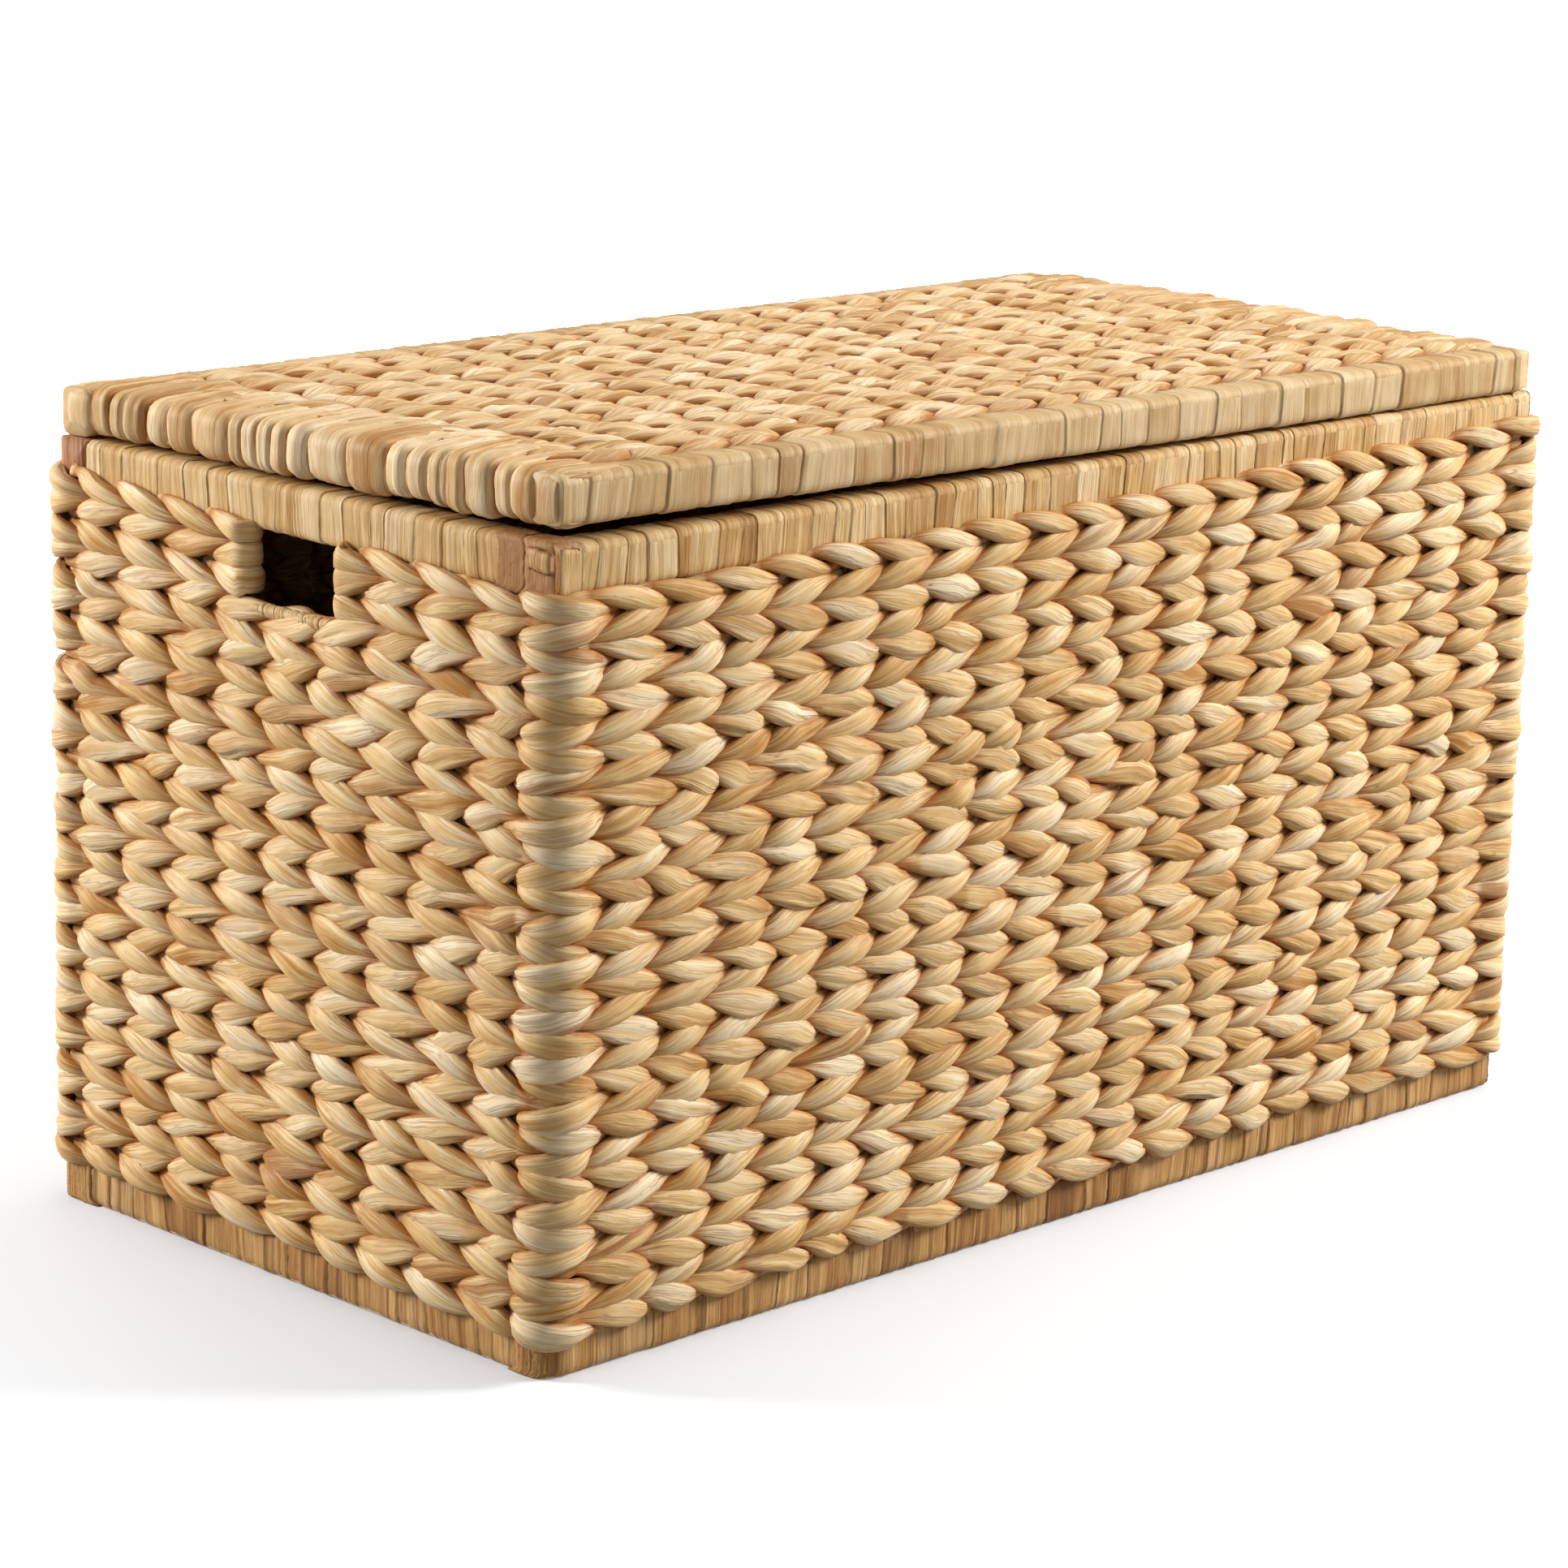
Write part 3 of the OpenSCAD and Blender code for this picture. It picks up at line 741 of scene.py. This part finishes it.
def end_cover(name, node, sign, material, seed, look, warp):
    """Leaf folded over the end of a long rail: over its top, down its end face and in under it. look
    holds its width from the corner, its strips' widths, its thickness and its tone."""
    width, widths, thick, tone = look
    rng = np.random.default_rng(seed)
    low, high = box(node)
    inward = 1 if low[1] < 0 else -1
    corner = np.array([high[0] if sign > 0 else low[0], low[1] if low[1] < 0 else high[1], 0])
    knots = [(COVER_TOP + 0.002, high[2] - 0.002), (COVER_TOP, high[2]), (0, high[2]), (0, low[2]),
             (COVER_UNDER, low[2]), (COVER_UNDER + 0.002, low[2] + 0.003)]
    curve = smooth_path(knots, 48, 0.003)
    slope = unit(np.gradient(curve, axis=0))
    columns = strip_rows(rng, width, widths, thick, (0, 0))
    columns = np.vstack([columns[:1], columns, columns[-1:] + [[0.0008, 0, 0, 0, 0]]])
    columns[1, 0] += 0.0007
    lift = columns[:, 1] + COVER_LIFT
    lift[[0, -1]] = -COVER_BORDER
    lift = lift + rng.normal(0, 0.00016, (len(curve), len(columns)))
    depth = curve[:, :1] + slope[:, 1:] * lift
    rise = curve[:, 1:] - slope[:, :1] * lift
    tuck = (COVER_TUCKS[0] * np.clip(1 - (rise - low[2]) / 0.004, 0, 1.2) ** 2
            + COVER_TUCKS[1] * np.clip(1 - (high[2] - rise) / 0.003, 0, 1.2) ** 2)
    places = (columns[:, 0] + tuck)[..., None]
    points = corner - X * sign * depth[..., None] + Y * inward * places + Z * rise[..., None]
    down = np.linspace(0, 0.045, len(curve))[:, None]
    fibre = fibre_grid(down, columns[:, 0], columns[:, 2] * STRIP_STEP + seed)
    tones = np.tile(tone, (*depth.shape, 1))
    tones[..., 0] += 0.12 * np.sin(columns[:, 2] * 2.3 + seed)
    # Painted shade at the strips' edges, added to the cover's own tone.
    tones[..., 2] = np.clip(tones[..., 2] + columns[:, 4], 0, 1)
    surface = Surface()
    surface.grid(warp(points), fibre, tones)
    surface.build(name, HAMPER, material, (node,))


# ---------- the lid ----------

def warp_lid(points):
    """Lifts the lid's points: most at its front left corner, nothing along the back and the right."""
    left, right = box("lid_wrap_left")[0][0], box("lid_wrap_right")[1][0]
    front, back = box("lid_wrap_front")[0][1], box("lid_wrap_back")[1][1]
    to_left = np.clip((right - points[..., 0]) / (right - left), 0, 1) ** 1.3
    to_front = np.clip((back - points[..., 1]) / (back - front), 0, 1)
    lifted = points.copy()
    lifted[..., 2] += LID_LIFT * to_left * to_front
    return lifted


# A strand over the lid's end: the length of its bends, the depth that its top end dives to, how far it
# runs in under the rail, how lumpy it is, how much painted shade lies along its edges, and the points round
# its section
END_BEND = 0.007
END_DIVE = 0.006
END_UNDER = 0.018
END_LUMPS = 0.010
END_SHADE = 0.9
END_SIDES = 32

# The ranges of these strands: their widths, the least that the last one may have, how far they reach
# in over the lid, their half thickness, and how far they stand off the rail's face, with the most
# that they may at its corners
END_WIDTHS = (0.0095, 0.012, 0.015, 0.018, 0.026)
END_LEAST = 0.008
END_REACH = (0.030, 0.056)
END_THICK = (0.0046, 0.0056)
END_PROUD = (0.0012, 0.0034)
CORNER_PROUD = 0.0022


def folded_strand(surface, face, out, heights, sizes, reach, rng, number, tone, sag, rise, drift, square):
    """A strand that comes over the lid's rail, goes down its outer face and turns in under it. face
    is a point on the rail's face and heights are the rail's. sizes are the strand's width, its half
    thickness and how far it stands off the face, and sag is how far it hangs below the rail."""
    (bottom, top), (width, fat, proud) = heights, sizes
    side = np.cross(Z, out)
    e, lower = fat - proud, bottom + fat - sag
    knots = [(reach + 2 * END_DIVE, top - e - END_DIVE), (reach, top - e + rise),
             (0.6 * reach, top - e + rise * 0.6), (e, top - e), (e, lower), (END_UNDER, lower),
             (END_UNDER + 0.002, lower + 0.003)]
    curve = smooth_path(knots, 48, END_BEND)
    share = np.linspace(0, 1, len(curve))
    points = (face - out * curve[:, :1] + side * (drift * (1 - share[:, None]) ** 2.5)
              + side * 0.0006 * np.sin(share[:, None] * 9 + number))
    points[:, 2] = curve[:, 1]
    points = warp_lid(points)
    thin = np.cross(side, tangents(points, False))
    thin *= np.sign(np.sum(thin[len(thin) // 2] * out))
    half_w = width / 2 * np.interp(share, [0, 0.22, 0.4, 0.8, 1], [0.45, 0.84, 1.0, 1.0, 0.8])
    half_t = fat * np.interp(share, [0, 0.2, 0.4, 0.8, 1], [0.6, 0.9, 1, 1, 0.8])
    folds = wrinkles(rng, 1, END_SIDES) + END_LUMPS * rng.normal(size=(len(curve), END_SIDES))
    folds = folds + 2.5 * END_LUMPS * np.sin(share * 17 + number * 1.7)[:, None]
    # Painted shade along the strand's two edges.
    shade = np.abs(np.cos(np.arange(END_SIDES) * math.tau / END_SIDES)) ** 7
    tones = np.tile(tone, (len(curve), END_SIDES, 1))
    tones[..., 2] = np.clip(tones[..., 2] + shade * END_SHADE, 0, 1)
    sweep(surface, points, thin, half_w, half_t, tones, number, END_SIDES, folds, square=square)


def lid_end_strands(side, material):
    """The thick strands that run off the lid's weave and round one of its short rails."""
    sign = {"left": -1, "right": 1}[side]
    rng = np.random.default_rng(500 + sign)
    low, high = box(f"lid_wrap_{side}")
    face = np.array([high[0] if sign > 0 else low[0], 0, 0])
    beyond = CORNER_STRANDS if sign < 0 else 0.002
    start, stop = low[1] - beyond, high[1] + beyond
    surface = Surface()
    edge, number = start, 0
    while edge < stop - 1e-6:
        width = rng.choice(END_WIDTHS) * rng.uniform(0.9, 1.1)
        width = FIRST_STRANDS[number] if sign < 0 and number < len(FIRST_STRANDS) else width
        if stop - edge - width < END_LEAST:
            width = stop - edge
        face[1] = edge + width / 2
        tone = [np.clip(0.45 + 0.14 * rng.normal(), 0, 1), rng.uniform(0, 0.7) ** 2, 0.0,
                rng.choice([0.0, 0.0, 0.3, 0.8])]
        fat, proud = min(rng.uniform(*END_THICK), 0.4 * width), rng.uniform(*END_PROUD)
        reach, drift = rng.uniform(*END_REACH), rng.normal(0, 0.004)
        corner = edge < low[1] or edge + width > high[1]
        if corner:
            reach, drift, proud = 0.018 + 0.4 * reach, 0.3 * drift, min(proud, CORNER_PROUD)
        sag = np.clip(warp_lid(face)[2] - face[2] - 0.001, -0.0004, proud)
        extra, rise, square = (0.0024, 0.0, 0.8) if corner else (0.0008, 0.0022, 0.9)
        folded_strand(surface, face, X * sign, (low[2], high[2]), (width + extra, fat, proud), reach, rng,
                      300 + number, tone, sag, rise, drift, square)
        edge += width
        number += 1
    covered = ["lid_wrap_" + wrap for wrap in ("front", "back", side)[0 if sign < 0 else 2:]]
    surface.build(f"lid_end_strands_{side}", LID, material, covered)


def lid_underside(wood, wire):
    """The lid's battens and its wires, which follow its warp."""
    low, high = box("lid_battens")
    surface = Surface()
    for left in (low[0], high[0] - BATTEN_W):
        bar(surface, np.array([left, *low[1:]]), np.array([left + BATTEN_W, *high[1:]]), warp=warp_lid)
    surface.build("lid_batten_pair", LID, wood, ("lid_battens",))
    low, high = box("lid_stakes")
    radius = (high[2] - low[2]) / 2
    surface = Surface()
    for x in np.linspace(low[0] + radius, high[0] - radius, FRONT_GAPS + 1):
        rod(surface, np.array([x, low[1], low[2] + radius]), np.array([x, high[1], low[2] + radius]), radius,
            warp_lid)
    surface.build("lid_wires", LID, wire, ("lid_stakes",))


# ---------- materials ----------

# How far a fibre line sways across its strand
SWAY = 0.0012

# Reddened and dull fibres, and the dark streaks in the base's leaf
RED_FIBRE = (0.36, 0.135, 0.04, 1)
DULL_FIBRE = (0.46, 0.34, 0.22, 1)
DARK_STREAK = (0.20, 0.09, 0.035, 1)


class Shader:
    """A material with a Principled shader, and short calls for its other nodes."""

    def __init__(self, name, roughness, specular, metallic=0.0):
        self.material = bpy.data.materials.new(name)
        self.material.use_nodes = True
        self.tree = self.material.node_tree
        self.surface = self.tree.nodes["Principled BSDF"]
        self.surface.inputs["Roughness"].default_value = roughness
        self.surface.inputs["Specular IOR Level"].default_value = specular
        self.surface.inputs["Metallic"].default_value = metallic

    def put(self, target, value):
        if isinstance(value, bpy.types.NodeSocket):
            self.tree.links.new(value, target)
        else:
            target.default_value = value

    def add(self, kind, inputs=(), **settings):
        node = self.tree.nodes.new("ShaderNode" + kind)
        for key, value in settings.items():
            setattr(node, key, value)
        for key, value in dict(inputs).items():
            self.put(node.inputs[key], value)
        return node

    def math(self, operation, a, b=0.0, clamp=False):
        return self.add("Math", {0: a, 1: b}, operation=operation, use_clamp=clamp).outputs[0]

    def times(self, a, b, clamp=False):
        return self.math("MULTIPLY", a, b, clamp)

    def weigh(self, *parts):
        """The sum of values, each given with its weight."""
        first, *others = [self.times(value, weight) for value, weight in parts]
        for other in others:
            first = self.math("ADD", first, other)
        return first

    def join(self, x, y, z):
        return self.add("CombineXYZ", {0: x, 1: y, 2: z}).outputs[0]

    def noise(self, vector, detail=3.0, rough=0.55):
        inputs = {"Vector": vector, "Scale": 1.0, "Detail": detail, "Roughness": rough}
        return self.add("TexNoise", inputs).outputs[0]

    def grain(self, scale, detail=3.0, rough=0.55):
        """Noise in the object's own space, with a scale for each axis."""
        place = self.add("TexCoord").outputs["Object"]
        return self.noise(self.add("Mapping", {"Vector": place, "Scale": scale}).outputs[0], detail, rough)

    def mix(self, factor, a, b):
        node = self.add("Mix", data_type="RGBA")
        for number, value in ((0, factor), (6, a), (7, b)):
            self.put(node.inputs[number], value)
        return node.outputs[2]

    def ramp(self, factor, stops):
        node = self.add("ValToRGB", {0: factor})
        ramp = node.color_ramp
        while len(ramp.elements) < len(stops):
            ramp.elements.new(0.5)
        for element, (place, colour) in zip(ramp.elements, stops):
            element.position = place
            element.color = (*colour, 1)
        return node.outputs[0]

    def range(self, value, low, high):
        return self.add("MapRange", {0: value, 1: low, 2: high, 3: 0.0, 4: 1.0},
                        interpolation_type="SMOOTHSTEP").outputs[0]

    def colour(self, socket):
        self.put(self.surface.inputs["Base Color"], socket)

    def bump(self, height, strength, distance):
        node = self.add("Bump", {"Height": height, "Strength": strength, "Distance": distance})
        self.put(self.surface.inputs["Normal"], node.outputs[0])


def fibre_material(name, pale, mid, dark, crossing_shade=(0.42, 0.155, 0.028), hairline_and_crease_shade=(0.31, 0.125, 0.027),
                   fine=900.0, run=16.0, contrast=0.55, crease_depth=0.36, bump=0.65, streaks=0.0):
    """Dried plant fibre. Its lines follow the fibre attribute, and its patches and its painted shade the
    tone attribute.
    fine and run are how many lines there are to a metre across and along the fibres."""
    shade = Shader(name, 0.46, 0.14)
    fibre = shade.add("Attribute", attribute_name="fibre").outputs["Vector"]
    along, across, strand = shade.add("SeparateXYZ", {0: fibre}).outputs
    tone = shade.add("Attribute", attribute_name="tone").outputs
    bright, redness, cross = shade.add("SeparateColor", {0: tone["Color"]}).outputs
    seed = shade.times(strand, 7.31)
    waves = shade.noise(shade.join(shade.times(along, 60.0), shade.times(across, 90.0), seed), 1.0)
    across = shade.math("ADD", across, shade.times(shade.math("SUBTRACT", waves, 0.5), SWAY))

    def streaky(u, v, detail=3.0, rough=0.55):
        return shade.noise(shade.join(shade.times(along, u), shade.times(across, v), seed), detail, rough)

    lines = streaky(run, fine, 4.0, 0.65)
    bands = streaky(run * 0.8, fine / 5, 2.0)
    patches = streaky(38.0, 60.0, 2.0)
    value = shade.weigh((lines, contrast), (bands, 0.5), (patches, 0.8 - contrast), (bright, 0.40))
    colour = shade.ramp(shade.math("SUBTRACT", value, 0.35), [(0.30, dark), (0.48, mid), (0.66, pale)])
    stain = shade.times(shade.range(streaky(run * 0.45, fine / 2.6), 0.46, 0.60), redness)
    stain = shade.times(stain, shade.range(patches, 0.34, 0.56))
    colour = shade.mix(shade.times(tone["Alpha"], 0.22), colour, DULL_FIBRE)
    colour = shade.mix(shade.times(stain, 0.85), colour, RED_FIBRE)
    if streaks:
        marks = shade.range(streaky(run * 0.5, fine / 3.2), 0.54, 0.68)
        colour = shade.mix(shade.times(marks, streaks), colour, DARK_STREAK)
    gap = shade.math("ABSOLUTE", shade.math("SUBTRACT", streaky(run * 1.3, fine * 0.52, 3.0, 0.6), 0.5))
    creases = shade.math("SUBTRACT", 1.0, shade.range(gap, 0.0, 0.040))
    creases = shade.times(creases, shade.range(lines, 0.35, 0.60))
    dashes = shade.range(streaky(run * 2.2, fine * 1.5, 2.0), 0.56, 0.66)
    creases = shade.math("MAXIMUM", creases, shade.times(dashes, 0.85))
    # Crease lines darken towards a dark brown: partly the fibre's own dark lines, partly painted shade in
    # the creases, much stronger where strands cross.
    crease_line_and_shade_amount = shade.math("ADD", shade.times(cross, 0.9), crease_depth)
    colour = shade.mix(shade.times(creases, crease_line_and_shade_amount, clamp=True), colour, (*hairline_and_crease_shade, 1))
    # Painted shade: a warm dark brown where the tone's third channel is high, that is where strands cross,
    # along their edges and at the edges of wound strips.
    shade.colour(shade.mix(shade.times(shade.math("POWER", cross, 2.3), 0.95), colour, (*crossing_shade, 1)))
    shade.bump(shade.weigh((lines, 0.5), (bands, 0.9), (creases, -0.12)), bump, 0.0014)
    return shade.material


def wood_material(name, pale, dark, scale=(28.0, 260.0, 260.0)):
    """Sawn softwood, with its grain along the part where its scale is smallest."""
    shade = Shader(name, 0.62, 0.25)
    value = shade.weigh((shade.grain(scale, 4.0, 0.6), 0.6), (shade.grain((700.0, 500.0, 60.0)), 0.4))
    shade.colour(shade.ramp(value, [(0.36, dark), (0.62, pale)]))
    shade.bump(value, 0.4, 0.0008)
    return shade.material


def cane_material():
    """Round cane: satin, with faint length-wise lines and paler joints."""
    shade = Shader("round_cane", 0.42, 0.4)
    lines = shade.grain((500.0, 500.0, 9.0))
    value = shade.weigh((lines, 0.6), (shade.grain((3.0, 3.0, 12.0)), 0.4))
    shade.colour(shade.ramp(value, [(0.35, (0.24, 0.13, 0.05)), (0.65, (0.52, 0.34, 0.16))]))
    shade.bump(lines, 0.3, 0.0006)
    return shade.material


def metal_material(name, colour, tarnish, roughness, metallic):
    """Metal or its coating, with a thin uneven tarnish."""
    shade = Shader(name, roughness, 0.5, metallic)
    cloud = shade.grain((60.0, 60.0, 60.0), 5.0)
    shade.colour(shade.mix(shade.range(cloud, 0.4, 0.65), (*colour, 1), (*tarnish, 1)))
    shade.bump(cloud, 0.15, 0.0004)
    return shade.material


def paint(node, material):
    """Gives a CAD node that stays visible its material."""
    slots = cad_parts[node].material_slots
    for slot in slots:
        slot.material = material
    if not slots:
        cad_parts[node].data.materials.append(material)


# ---------- the studio ----------

AIM = (0.0, 0.0, 0.2)

# The floor's own light: round the hamper, what is added far away, and from where to where it grows
FLOOR_GLOW = 0.10
FAR_GLOW = 0.75
GLOW_RANGE = (0.4, 1.6)


def studio_floor():
    """A pale floor that glows, with painted light that grows away from the hamper, so that it fades to
    white.
    """
    shade = Shader("studio_floor", 0.9, 0.1)
    shade.colour(shade.mix(shade.grain((0.7, 0.7, 0.7)), (0.74, 0.77, 0.81, 1), (0.76, 0.79, 0.83, 1)))
    shade.surface.inputs["Emission Color"].default_value = (1, 1, 1, 1)
    place = shade.add("TexCoord").outputs["Object"]
    away = shade.add("VectorMath", {0: place}, operation="LENGTH").outputs["Value"]
    glow = shade.math("ADD", FLOOR_GLOW, shade.times(shade.range(away, *GLOW_RANGE), FAR_GLOW))
    shade.put(shade.surface.inputs["Emission Strength"], glow)
    bpy.ops.mesh.primitive_plane_add(size=60, location=(0, 0, 0))
    floor = bpy.context.object
    floor.name = "studio_floor"
    floor.data.materials.append(shade.material)
    floor.visible_diffuse = False


def soft_light(name, kind, place, target, energy, **settings):
    """A wide soft light that shines from a place towards a target."""
    light = bpy.data.lights.new(name, kind)
    light.energy = energy
    for setting, value in settings.items():
        setattr(light, setting, value)
    lamp = bpy.data.objects.new(name, light)
    lamp.location = place
    lamp.rotation_euler = (Vector(target) - Vector(place)).to_track_quat("-Z", "Y").to_euler()
    bpy.context.scene.collection.objects.link(lamp)


def studio_lights():
    """A warm world, a high soft sun, a key light at the front right and a weaker one at the back left."""
    world = bpy.data.worlds.new("studio")
    world.use_nodes = True
    world.node_tree.nodes["Background"].inputs["Color"].default_value = (1, 0.965, 0.91, 1)
    world.node_tree.nodes["Background"].inputs["Strength"].default_value = 0.33
    bpy.context.scene.world = world
    soft_light("overhead", "SUN", (0.2, 0.1, 1.0), (0, 0, 0), 0.95, angle=math.radians(50))
    soft_light("key", "AREA", (2.2, -1.7, 1.7), AIM, 126.0, size=1.1, color=(1, 0.99, 0.97))
    soft_light("fill", "AREA", (-1.7, 2.0, 1.1), AIM, 82.0, size=0.9)
    bpy.context.scene.view_settings.view_transform = "Standard"


def studio_camera():
    """Looks over the front left corner, slightly from above."""
    azimuth, pitch, roll = math.radians(-45.50), math.radians(13.72), math.radians(1.55)
    distance, aim = 2.476, Vector((-0.0263, 0.0, 0.1893))
    level = Vector((math.sin(azimuth), -math.cos(azimuth), 0)) * math.cos(pitch)
    back = level + Vector((0, 0, math.sin(pitch)))
    data = bpy.data.cameras.new("camera")
    data.sensor_width = 36.0
    data.lens = 114.6
    camera = bpy.data.objects.new("camera", data)
    turn = (-back).to_track_quat("-Z", "Y").to_matrix() @ Matrix.Rotation(roll, 3, "Z")
    camera.matrix_world = Matrix.Translation(aim + back * distance) @ turn.to_4x4()
    bpy.context.scene.collection.objects.link(camera)
    bpy.context.scene.camera = camera


# ---------- the hamper ----------

def base_and_rim(leaf, brown_leaf, wood, red_wood):
    """The two wound frames that the weave hangs between."""
    base_round, rim_round = round_corners(*BASE_CORNERS), round_corners(*RIM_CORNERS)
    for number, side in enumerate(SIDES):
        bare = BARE_END if side == "back" else 0
        wound_rail(f"rim_leaf_{side}", f"rim_wrap_{side}", HAMPER, leaf, (0.008, 0.021), 0.0009,
                   20 + number, ends=(bare, 0), warp=rim_round, covers=("rim_nails",))
        wound_rail(f"base_leaf_{side}", f"base_wrap_{side}", HAMPER, brown_leaf, (0.016, 0.036),
                   0.0008, 40 + number, radius=0.004, wrinkle=0.00022, warp=base_round,
                   covers=("base_nails",))
    for side in ("front", "back"):
        timber(f"base_timber_{side}", f"base_rail_{side}", HAMPER, wood, warp=base_round)
        for sign, end in ((-1, "left"), (1, "right")):
            seed = 100 + sign * (3 if side == "front" else 7)
            end_cover(f"base_end_{side}_{end}", f"base_wrap_{side}", sign, brown_leaf, seed,
                      BASE_COVER, base_round)
            if (side, end) != ("back", "left"):
                look = NEAR_COVER if (side, end) == ("front", "left") else RIM_COVER
                end_cover(f"rim_end_{side}_{end}", f"rim_wrap_{side}", sign, leaf, seed + 50,
                          look, rim_round)
    rim_knot(leaf)
    timber("rim_timber_front", "rim_rail_front", HAMPER, wood, warp=rim_round)
    timber("rim_timber_back", "rim_rail_back", HAMPER, red_wood, "rim_wrap_back", inset=0.0014,
           bare=BARE_END)


def rim_knot(material):
    """The stub of leaf that stands off the rim's front left corner, where its winding was tied."""
    rng = np.random.default_rng(190)
    low, high = box("rim_wrap_front")
    surface = Surface()
    share = np.linspace(0, 1, 16)
    for number, (place, width, drop, proud) in enumerate(KNOT):
        points = np.tile([low[0] - proud, low[1] + place, high[2] - drop], (len(share), 1))
        points[:, 2] -= KNOT_H * share
        points[:, 0] += 0.0012 * (2 * share - 1) ** 4
        folds = wrinkles(rng, 1, 24) + 0.02 * rng.normal(size=(len(share), 24))
        tone = np.tile([0.3, 0.4, 0.45, 0.5], (len(share), 1))
        # Painted shadow at the knot's top and bottom ends; all of it also takes a little of the same dark
        # brown.
        tone[:2, 2] = tone[-2:, 2] = 1.0
        sweep(surface, points, np.broadcast_to(-X, points.shape), np.full(len(share), width / 2),
              np.full(len(share), 0.0019), tone, number, 24, folds, square=0.55)
    surface.build("rim_knot", HAMPER, material, ("rim_wrap_front",))


def lid(straw, leaf, wood, wire):
    """The lid's woven panel, its rails, the strands over its ends and what lies under it."""
    panel_weave("lid_top", LID, "lid_weave", "lid_stakes", straw, 3, 3000, 0.82, warp_lid)
    for number, side in enumerate(("front", "back")):
        wound_rail(f"lid_leaf_{side}", f"lid_wrap_{side}", LID, leaf, (0.014, 0.034), 0.0013,
                   60 + number, wrinkle=0.00012, gaps=0.55, warp=warp_lid, covers=("lid_nails",))
    for side in ("left", "right"):
        lid_end_strands(side, straw)
    for side in SIDES:
        timber(f"lid_timber_{side}", f"lid_rail_{side}", LID, wood, warp=warp_lid)
    lid_underside(wood, wire)


def finger_holes(leaf):
    """The two wound rods at the lower edges of the finger holes."""
    for side in ("left", "right"):
        sign = -1 if side == "left" else 1
        lift = np.array([sign * SILL_OUT, 0, SILL_UP])
        wound_rail(f"sill_winding_{side}", f"finger_hole_sill_{side}", HAMPER, leaf,
                   (0.005, 0.008), 0.0007, 80 + sign, radius=0.0024, slants=(0.45, 0.6),
                   warp=lambda points, lift=lift: points + lift)


def fibre_materials():
    """The strands' and the leaf's materials, each with its pale, middle and dark colours."""
    straw = fibre_material("twined_straw", (0.93, 0.765, 0.52), (0.78, 0.525, 0.235), (0.46, 0.20, 0.04))
    lid_straw = fibre_material("lid_straw", (0.87, 0.73, 0.50), (0.72, 0.50, 0.26), (0.44, 0.22, 0.065))
    rim_leaf = fibre_material("rim_leaf", (0.82, 0.63, 0.375), (0.66, 0.43, 0.18), (0.41, 0.21, 0.06),
                              crossing_shade=(0.28, 0.11, 0.03), fine=1300.0, run=14.0, contrast=0.5,
                              crease_depth=0.5, bump=0.55)
    lid_leaf = fibre_material("lid_leaf", (0.68, 0.52, 0.31), (0.57, 0.39, 0.19), (0.42, 0.24, 0.09),
                              crossing_shade=(0.34, 0.16, 0.05), fine=1000.0, run=14.0, contrast=0.4,
                              crease_depth=0.3, bump=0.4)
    base_leaf = fibre_material("base_leaf", (0.70, 0.43, 0.18), (0.52, 0.28, 0.095), (0.28, 0.12, 0.035),
                               crossing_shade=(0.17, 0.07, 0.025), hairline_and_crease_shade=(0.16, 0.06, 0.02), fine=700.0, run=8.0,
                               bump=0.7, streaks=0.8)
    return straw, lid_straw, rim_leaf, lid_leaf, base_leaf


studio_camera()
studio_lights()
studio_floor()

straw, lid_straw, rim_leaf, lid_leaf, base_leaf = fibre_materials()
sawn = wood_material("sawn_wood", (0.72, 0.52, 0.30), (0.48, 0.29, 0.14))
red_wood = wood_material("red_wood", (0.50, 0.215, 0.085), (0.14, 0.04, 0.013), (60.0, 520.0, 45.0))
wire = metal_material("coated_wire", (0.10, 0.06, 0.035), (0.06, 0.035, 0.02), 0.75, 0.0)
steel = metal_material("hinge_steel", (0.46, 0.41, 0.33), (0.24, 0.19, 0.13), 0.38, 1.0)
cane = cane_material()

wall_weave(straw)
panel_weave("floor", HAMPER, "floor_weave", "floor_stakes", straw, 1, 4000, per_gap=8, sides=10)
base_and_rim(rim_leaf, base_leaf, sawn, red_wood)
finger_holes(rim_leaf)
lid(lid_straw, lid_leaf, sawn, wire)
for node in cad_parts:
    if node.startswith("corner_post"):
        paint(node, cane)
    elif "stakes" in node:
        paint(node, wire)
    elif node.startswith("hinge") or "nails" in node:
        paint(node, steel)
    elif "_rail_" in node or node == "floor_slats":
        paint(node, sawn)
